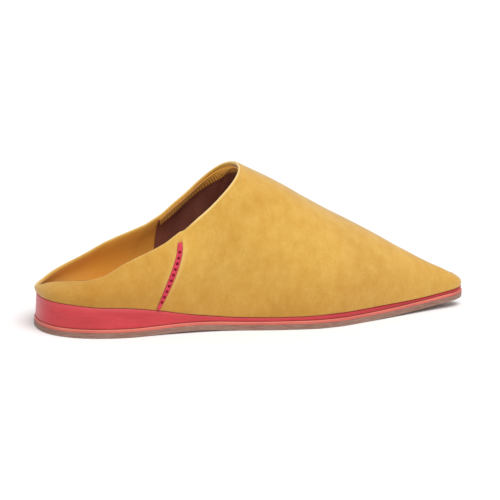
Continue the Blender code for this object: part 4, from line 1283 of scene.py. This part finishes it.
def build_welt(name, side, node, material):
    """The red leather strip in a side seam, puffed up between its stitches."""
    rows, turns = 130, 10
    spots = [wall_point(SEAM_SHARE, -1, place) for place in stitch_places()]
    top = FIT_GAP + SEAM_STRIP_THICKNESS - SEAM_GROOVE
    points = []
    for i in range(rows + 1):
        up_share = STRIP_FOOT_SHARE + (STRIP_TOP_SHARE - STRIP_FOOT_SHARE) * i / rows
        half_width, lens = seam_half_width(up_share)
        half_strip = half_width - 0.5 * FIT_GAP
        here = wall_point(SEAM_SHARE, -1, up_share)
        nearest = min((here - spot).length for spot in spots) / STITCH_PITCH
        dip = WELT_DIP * math.exp(-((nearest / 0.22) ** 2))
        floor = FIT_GAP - SEAM_GROOVE * lens
        for j in range(turns + 1):
            across = 1 - 2 * j / turns
            crown = (top + (1 - lens) * SEAM_GROOVE - dip * (1 - across**2)) - 0.00030 * across**2
            points.append(seam_point(side, up_share, across * half_strip, crown))
        for across in (-1, 1):
            points.append(seam_point(side, up_share, across * half_strip, floor))
    width = turns + 3
    faces = strips(rows + 1, width)
    faces += [tuple(range(width)), tuple(range(width * (rows + 1) - 1, width * rows - 1, -1))]
    return piece(name, points, faces, [material], node, None, "shoe", None, None, 60)


def build_stitches(name, side, slot, material):
    """Short dark stitches sunk in the strip, each a rounded grain of thread."""
    points, faces = [], []
    top = FIT_GAP + SEAM_STRIP_THICKNESS - SEAM_GROOVE - WELT_DIP
    rings, sides = 7, 10
    for place in stitch_places():
        half_width, lens = seam_half_width(place)
        size = min(0.75 * half_width, 0.5 * STITCH_WIDTH)
        normal, _ = wall_frame(SEAM_SHARE, side, place)
        centre = seam_point(side, place, 0.0, top + (1 - lens) * SEAM_GROOVE)
        ahead = seam_point(side, place + 0.01, 0.0, 0.0)
        along = (ahead - seam_point(side, place - 0.01, 0.0, 0.0)).normalized()
        across = along.cross(normal)
        slant = (along + 0.35 * across).normalized()
        beside = slant.cross(normal)
        base = len(points)
        for i in range(rings + 1):
            angle = math.pi * i / rings
            for j in range(sides):
                spin = 2 * math.pi * j / sides
                spoke = size * (beside * math.cos(spin) + 0.8 * normal * math.sin(spin))
                reach = 0.5 * STITCH_LENGTH * math.cos(angle)
                points.append(centre + reach * slant + spoke * math.sin(angle))
        faces += strips(rings + 1, sides, base)
    made = piece(name, points, faces, [material], None, slot)
    welded(made)
    return made


def welded(made):
    """Joins points that lie together, such as those at the ends of a turned shape."""
    shell = bmesh.new()
    shell.from_mesh(made.data)
    bmesh.ops.remove_doubles(shell, verts=shell.verts, dist=1e-6)
    bmesh.ops.recalc_face_normals(shell, faces=shell.faces)
    shell.to_mesh(made.data)
    shell.free()
    made.data.shade_smooth()
    made.data.set_sharp_from_angle(angle=math.radians(60))


def fine_stations():
    """(share, side) all the way round the sole: inner side to the toe, outer side back."""
    shares = spread(0.0, HEEL_SHARE, 48) + spread(HEEL_SHARE, 1 - TOE_SHARE, 110)
    shares += spread(1 - TOE_SHARE, 1.0, 26)
    return [(share, -1) for share in shares] + [(1.0, -1)] + [(share, 1) for share in reversed(shares[1:])]


def stacked(name, layers, materials, node, kinds_of, highlight_and_wear_of, deep_of, sharp=38):
    """A closed solid through loops of points, closed above and below by strips across the shoe."""
    count = len(layers[0])
    points = [point for layer in layers for point in layer]
    highlight_and_wear = [highlight_and_wear_of(level, point) for level, layer in enumerate(layers) for point in layer]
    deep = [deep_of(point) for point in points]
    faces = strips(len(layers), count)
    kinds = [kinds_of(level) for level in range(len(layers) - 1) for _ in range(count)]
    for level in (0, len(layers) - 1):
        base = level * count
        for i in range(count // 2):
            strip = [base + i, base + i + 1, base + count - i - 1, base + (count - i) % count]
            faces.append(tuple(dict.fromkeys(strip)))
            kinds.append(kinds_of(level))
    marks = {"highlight_and_wear": highlight_and_wear, "deep": deep}
    return piece(name, points, faces, materials, node, None, "shoe", kinds, marks, sharp)


def build_outsole(bare, painted):
    layers = []
    for inset, above, _, _ in SOLE_EDGE_ROWS:
        layer = []
        for share, side in fine_stations():
            x, y = outline_point(share, side, inset)
            point = Vector((x, y, underside_height(x) + above))
            ripple = EDGE_PAINT_WAVE * rough(point, 0.006, 0.2) if above > 0.0003 else 0.0
            layer.append(point + ripple * outward(share, side))
        layers.append(layer)
    return stacked(
        "outsole_leather",
        layers,
        [bare, painted],
        "outsole",
        lambda level: SOLE_EDGE_ROWS[level][2],
        lambda level, point: SOLE_EDGE_ROWS[level][3],
        lambda point: 0.0,
    )


def build_wedge(material):
    layers = []
    for up_share, above, tuck, _ in WEDGE_EDGE_ROWS:
        layer = []
        for share, side in fine_stations():
            x, y = outline_point(share, side, LEDGE)
            bottom = underside_height(x) + OUTSOLE_THICKNESS + FIT_GAP
            flare = wedge_flare(up_share)
            back = (ledge_inset(x) - LEDGE) * (1 - flare) + tuck
            z = bottom + up_share * (seat_height(x) - bottom) + above
            point = Vector((x, y, z))
            ripple = 1.4 * EDGE_PAINT_WAVE * rough(point, 0.007, 0.5) if 0.0 < up_share < 1.0 else 0.0
            layer.append(point + (ripple - back) * outward(share, side))
        layers.append(layer)
    return stacked("wedge_paint", layers, [material], "midsole", lambda level: 0, wedge_highlight, wedge_depth)


def wedge_highlight(level, point):
    """How strong the painted highlight on the wedge's paint is: along its top edge, and less towards the
    shoe's middle.
    """
    return WEDGE_EDGE_ROWS[level][3] * min(max((WEDGE_HIGHLIGHT_TO - point.x) / WEDGE_HIGHLIGHT_FADE, 0.0), 1.0)


def wedge_depth(point):
    """How deep in tone the wedge's paint is: more and more so towards the toe."""
    return min(max((point.x - WEDGE_DEEP_FROM) / WEDGE_DEEP_FADE, 0.0), 1.0)


def build_insole(material):
    """Thin leather footbed, its edge rounded and its middle pressed down a little by the foot."""
    shares = spread(0.0, HEEL_SHARE, 30) + spread(HEEL_SHARE, 1 - TOE_SHARE, 70)
    shares += spread(1 - TOE_SHARE, 1.0, 12) + [1.0]
    clearance = UPPER_WALL + FIT_GAP + WEDGE_FLARE
    acrosses = (0.0, 0.012, 0.03, 0.07, 0.14, 0.24, 0.36, 0.5, 0.64, 0.76, 0.86, 0.93, 0.97, 0.988, 1.0)
    points = []
    for level in (0, 1):
        for share in shares:
            (x, inner), (_, outer) = (outline_point(share, side, LEDGE, clearance) for side in (-1, 1))
            for across in acrosses:
                y = inner + (outer - inner) * across
                z = seat_height(x) + FIT_GAP
                if level:
                    edge = min(across, 1 - across)
                    rounded = max(1 - edge / FOOTBED_ROUND_SHARE, 0.0) ** 2
                    pressed = FOOTBED_PRESS * math.sin(math.pi * across) ** 2
                    uneven = FOOTBED_WAVE * rough(Vector((x, y, 0)), 0.012)
                    z += INSOLE_THICKNESS - FOOTBED_ROUND * rounded - pressed + uneven
                points.append(Vector((x, y, z)))
    width, length = len(acrosses), len(shares)
    faces = []
    for level in (0, 1):
        base = level * width * length
        for i in range(length - 1):
            for j in range(width - 1):
                first = base + i * width + j
                faces.append((first, first + 1, first + width + 1, first + width))
    high = width * length
    for i in range(length - 1):
        for j in (0, width - 1):
            first = i * width + j
            faces.append((first, first + width, high + first + width, high + first))
    for j in range(width - 1):
        for i in (0, length - 1):
            first = i * width + j
            faces.append((first, first + 1, high + first + 1, high + first))
    return piece("footbed", points, faces, [material], "insole")


def build_stud(hang, metal):
    """A low polished dome in a rolled rim, with the little eye that the chain hangs from."""
    rim = 0.5 * STUD_DIAMETER
    lip = STUD_LIP_SHARE * rim
    top = STUD_RIM_HEIGHT
    profile = [(FIT_GAP, 0.84 * rim), (FIT_GAP + 0.0002, 0.95 * rim), (FIT_GAP + 0.0005, rim)]
    profile += [(top - 0.0006, rim), (top - 0.0002, 0.975 * rim)]
    profile += [(top, 0.92 * rim), (top - 0.0001, 0.86 * rim)]
    for i in range(1, 12):
        angle = 0.5 * math.pi * i / 12
        profile.append((top + STUD_DOME_HEIGHT * math.sin(angle), 0.94 * lip * math.cos(angle) ** 0.8))
    points, faces = turned(hang.seat, hang.facing, profile, 64)
    ring = loop_of_wire(hang.eye, hang.down, hang.across, EYE_RADIUS, EYE_RADIUS, EYE_WIRE, 40, 14)
    piece("charm_stud_dome", points, faces, [metal], "charm_stud")
    piece("charm_stud_eye", *ring, [metal], None, "charm_stud")


def build_chain(hang, metal):
    """Oval links, each through the next: the first through the stud's eye, the last round the ring."""
    first_half = 0.5 * (EYE_WIRE + CHAIN_WIRE) + LOOP_GAP
    last_half = 0.5 * (RING_WIRE + CHAIN_WIRE) + 2 * LOOP_GAP
    start, end = first_half, CHAIN_LENGTH - last_half
    last_step = first_half + last_half - CHAIN_WIRE - LINK_PLAY
    pitch = 2 * first_half - CHAIN_WIRE - LINK_PLAY
    count = 2 * round((end - last_step - start) / pitch / 2 - 0.5) + 1
    pitch = (end - last_step - start) / count
    points, faces = [], []
    for i in range(count + 2):
        at, half = (start + i * pitch, first_half) if i <= count else (end, last_half)
        wide = (hang.out, hang.across)[i % 2]
        centre = hang.chain_pivot + hang.down * at
        ring, ring_faces = loop_of_wire(centre, hang.down, wide, half, LINK_HALF_WIDTH, CHAIN_WIRE, 26, 10)
        faces += [tuple(len(points) + index for index in face) for face in ring_faces]
        points += ring
    return piece("charm_chain_links", points, faces, [metal], "charm_chain", None, "chain")


def build_ring(hang, metal):
    ring = loop_of_wire(hang.ring, hang.down, hang.across, RING_RADIUS, RING_RADIUS, RING_WIRE, 56, 18)
    return piece("charm_jump_ring", *ring, [metal], "charm_ring", None, "pendant")


def build_oval_link(hang, metal):
    start = RING_RADIUS - 0.5 * RING_WIRE - LOOP_GAP - 0.5 * LINK_WIRE
    end = bail_start() + 0.5 * BAIL_WIRE + LOOP_GAP + 0.5 * LINK_WIRE
    centre = hang.ring + hang.down * 0.5 * (start + end)
    half_width = 0.5 * (RING_WIRE + LINK_WIRE) + LINK_SLACK_SHARE * LOOP_GAP
    link = loop_of_wire(centre, hang.down, hang.out, 0.5 * (end - start), half_width, LINK_WIRE, 40, 12)
    return piece("charm_oval_link", *link, [metal], "charm_link", None, "pendant")


def build_arrowhead(hang, bright, dark):
    """A plain arrowhead: a raised border, a sunk field with three ribs, and the bail above it."""
    top = hang.ring + hang.down * (bail_start() + BAIL_HEIGHT + ARROW_NECK)
    half = 0.5 * ARROW_THICKNESS
    rows = ARROW_ROWS + tuple((-across, *rest) for across, *rest in reversed(ARROW_ROWS[1:-1]))
    points = []
    for column, height in ((1, -half), (1, half), (3, half), (3, half - ARROW_RECESS)):
        for row in rows:
            across = abs(row[column - 1]) * (1 if row[0] > 0 else -1) * 0.5 * ARROW_WIDTH
            down = row[column] * ARROW_LENGTH
            points.append(top + hang.across * across + hang.down * down + hang.out * height)
    count = len(rows)
    faces = strips(4, count) + [tuple(range(count)), tuple(range(3 * count, 4 * count))]
    kinds = [0] * (len(faces) - 1) + [1]
    arrow = piece("charm_arrow", points, faces, [bright, dark], "charm_arrowhead", None, "pendant", kinds)
    bevel = arrow.modifiers.new("worn_edges", "BEVEL")
    bevel.width = ARROW_EDGE_WEAR
    bevel.segments = 3
    bevel.limit_method = "ANGLE"
    bevel.angle_limit = math.radians(38)
    centre = hang.ring + hang.down * (bail_start() + 0.5 * BAIL_HEIGHT)
    half_height, half_width = 0.5 * BAIL_HEIGHT, 0.5 * BAIL_WIDTH
    bail = loop_of_wire(centre, hang.down, hang.across, half_height, half_width, BAIL_WIRE, 48, 14)
    piece("charm_bail", *bail, [bright], None, "charm_arrowhead", "pendant")
    build_ribs(hang, top, bright)


def build_ribs(hang, top, bright):
    """Three fine ribs on the arrowhead's sunk field, drawn together towards its tip."""
    field = 0.5 * ARROW_THICKNESS - ARROW_RECESS - RIB_SINK
    points, faces = [], []
    for across_share, start_share, end_share in RIB_ROWS:
        across = across_share * ARROW_WIDTH
        start = start_share * ARROW_LENGTH
        end = end_share * ARROW_LENGTH
        base = len(points)
        stops = ((start, 0.00016), (start + 0.0008, 0.00030), (end - 0.0020, 0.00024), (end, 0.00008))
        for down, width in stops:
            drawn_in = 1 - RIB_DRAW_SHARE * (down - start) / (end - start)
            middle = top + hang.down * down + hang.across * across * drawn_in
            for aside, height in ((-1, 0.0), (-0.55, 1.0), (0.55, 1.0), (1, 0.0)):
                raised_by = field + height * RIB_HEIGHT
                points.append(middle + hang.across * aside * width + hang.out * raised_by)
        faces += strips(4, 4, base)
        faces += [tuple(range(base, base + 4)), tuple(range(base + 15, base + 11, -1))]
    piece("charm_arrow_ribs", points, faces, [bright], None, "charm_arrowhead", "pendant", None, None, 50)


def build_pieces():
    outside = suede("mustard_suede", LIGHT_SUEDE, MIDDLE_SUEDE, DEEP_SUEDE, 0.80, PALE_SHEEN)
    inside = suede("inner_suede", INSIDE_SUEDE, INSIDE_SUEDE, INSIDE_DEEP, 1.0, WARM_SHEEN)
    red = edge_paint("red_edge_paint", WEDGE_RED, WEDGE_DEEP, WEDGE_PALE, 0.28)
    salmon = edge_paint("sole_edge_paint", SALMON, SALMON_DEEP, SALMON_PALE, 0.05)
    bare = cut_leather("sole_leather", SOLE_BROWN, SOLE_DEEP, SOLE_PALE)
    dark = lining_leather("lining_leather", LINING_BROWN, LINING_DEEP)
    tan = lining_leather("footbed_leather", FOOTBED_TAN, FOOTBED_DEEP)
    welt = edge_paint("seam_leather", SEAM_RED, SEAM_RED_DEEP, SEAM_RED_PALE, 0.10)
    stitch = thread("seam_thread", STITCH_RED, STITCH_DEEP)
    bright = steel("polished_steel", (0.86, 0.86, 0.87), (0.55, 0.54, 0.52), 0.14, 0.5)
    dull = steel("darkened_steel", (0.42, 0.42, 0.43), (0.16, 0.155, 0.15), 0.34, 0.9)
    build_outsole(bare, salmon)
    build_wedge(red)
    build_insole(tan)
    build_upper(outside, inside)
    build_lining(dark)
    build_band(inside)
    build_welt("seam_welt_inner", -1, "seam_strip_inner", welt)
    build_welt("seam_welt_outer", 1, "seam_strip_outer", welt)
    build_stitches("seam_stitches_inner", -1, "seam_strip_inner", stitch)
    build_stitches("seam_stitches_outer", 1, "seam_strip_outer", stitch)
    hang = CharmFrame()
    build_stud(hang, bright)
    build_chain(hang, bright)
    build_ring(hang, bright)
    build_oval_link(hang, dull)
    build_arrowhead(hang, bright, dull)


# Colours, as linear shares of red, green and blue
LIGHT_SUEDE = (0.80, 0.545, 0.150)
MIDDLE_SUEDE = (0.68, 0.380, 0.066)
DEEP_SUEDE = (0.54, 0.265, 0.036)
HIGHLIGHT_SUEDE = (0.92, 0.68, 0.28)
# Inner suede: the raw side's own oranger tone, drawn brighter than the outer suede as painted light in the
# shaded hollow of the shoe.
INSIDE_SUEDE = (0.96, 0.500, 0.085)
INSIDE_DEEP = (0.80, 0.360, 0.055)
SUEDE_SHADE = (0.62, 0.44, 0.30)
PALE_SHEEN = (1.0, 0.97, 0.84)
WARM_SHEEN = (1.0, 0.74, 0.38)
PAINT_SHADE = (0.78, 0.40, 0.50)
WEDGE_RED = (0.60, 0.036, 0.046)
WEDGE_DEEP = (0.48, 0.024, 0.034)
WEDGE_PALE = (0.76, 0.12, 0.13)
SALMON = (0.66, 0.150, 0.110)
SALMON_DEEP = (0.52, 0.085, 0.066)
SALMON_PALE = (0.76, 0.29, 0.22)
SOLE_BROWN = (0.27, 0.142, 0.102)
SOLE_DEEP = (0.20, 0.078, 0.054)
SOLE_PALE = (0.44, 0.29, 0.22)
LINING_BROWN = (0.320, 0.108, 0.075)
LINING_DEEP = (0.200, 0.064, 0.047)
SEAM_RED = (0.70, 0.040, 0.085)
SEAM_RED_DEEP = (0.56, 0.022, 0.055)
SEAM_RED_PALE = (0.82, 0.13, 0.19)
STITCH_RED = (0.26, 0.006, 0.018)
STITCH_DEEP = (0.13, 0.003, 0.009)
FOOTBED_TAN = (0.58, 0.300, 0.075)
FOOTBED_DEEP = (0.46, 0.215, 0.048)
FLOOR_WHITE = (0.93, 0.93, 0.93)

# Light: which way each lamp shines, how soft it is in degrees, and its strength
KEY_TOWARD = (-0.10, 0.42, -1.0)
KEY_SOFTNESS = 50
KEY_STRENGTH = 2.3
FILL_TOWARD = (0.20, 1.0, -0.50)
FILL_SOFTNESS = 70
FILL_STRENGTH = 0.15
ROOM_STRENGTH = 0.48


def build_floor():
    """A plain pale floor under the shoe."""
    size = 6.0
    mesh = bpy.data.meshes.new("floor")
    corners = [(-size, -size, 0), (size, -size, 0), (size, size, 0), (-size, size, 0)]
    mesh.from_pydata(corners, [], [(0, 1, 2, 3)])
    graph = Graph("studio_floor", 0.85)
    graph.set("Base Color", (*FLOOR_WHITE, 1.0))
    graph.set("Specular IOR Level", 0.1)
    mesh.materials.append(graph.material)
    floor = bpy.data.objects.new("floor", mesh)
    bpy.context.collection.objects.link(floor)


def build_sun(name, toward, softness, strength):
    """A very soft lamp, far away, shining along a direction."""
    lamp = bpy.data.lights.new(name, "SUN")
    lamp.angle = math.radians(softness)
    lamp.energy = strength
    made = bpy.data.objects.new(name, lamp)
    made.rotation_euler = Vector(toward).to_track_quat("-Z", "Y").to_euler()
    bpy.context.collection.objects.link(made)


def build_light():
    """Plain soft studio light: a broad one overhead, and a weaker one from behind the camera."""
    build_sun("key", KEY_TOWARD, KEY_SOFTNESS, KEY_STRENGTH)
    build_sun("fill", FILL_TOWARD, FILL_SOFTNESS, FILL_STRENGTH)
    world = bpy.data.worlds.new("studio")
    world.use_nodes = True
    background = world.node_tree.nodes["Background"]
    background.inputs["Color"].default_value = (1.0, 1.0, 1.0, 1.0)
    background.inputs["Strength"].default_value = ROOM_STRENGTH
    bpy.context.scene.world = world
    bpy.context.scene.view_settings.view_transform = "Standard"
    bpy.context.scene.view_settings.look = "None"


# The photograph's view: degrees round, above and rolled, distance from the shoe's middle, and what
# the picture takes in: its width there and how far its middle lies right of and above that place
VIEW_ROUND = 20.0
VIEW_ABOVE = 15.34
VIEW_ROLL = -2.31
VIEW_DISTANCE = 1.2
VIEW_WIDTH = 0.300
VIEW_RIGHT = -0.0037
VIEW_UP = 0.0389
VIEW_MIDDLE = Vector((0.105, 0.0, 0.0))
SENSOR_WIDTH = 0.036


def build_camera():
    turn, above, roll = (math.radians(angle) for angle in (VIEW_ROUND, VIEW_ABOVE, VIEW_ROLL))
    level = math.cos(above)
    forward = Vector((math.sin(turn) * level, math.cos(turn) * level, -math.sin(above)))
    right = Vector((math.cos(turn), -math.sin(turn), 0.0))
    up = right.cross(forward)
    right, up = right * math.cos(roll) - up * math.sin(roll), right * math.sin(roll) + up * math.cos(roll)
    place = VIEW_MIDDLE - VIEW_DISTANCE * forward
    aim = (VIEW_DISTANCE * forward + VIEW_RIGHT * right + VIEW_UP * up).normalized()
    right = (right - right.dot(aim) * aim).normalized()
    up = right.cross(aim)
    data = bpy.data.cameras.new("camera")
    data.sensor_width = 1000 * SENSOR_WIDTH
    data.lens = 1000 * SENSOR_WIDTH * VIEW_DISTANCE / VIEW_WIDTH
    data.clip_start = 0.05
    camera = bpy.data.objects.new("camera", data)
    facing = Matrix((right, up, -aim)).transposed().to_4x4()
    camera.matrix_world = Matrix.Translation(place) @ facing
    bpy.context.collection.objects.link(camera)
    bpy.context.scene.camera = camera


build_pieces()
build_floor()
build_light()
build_camera()
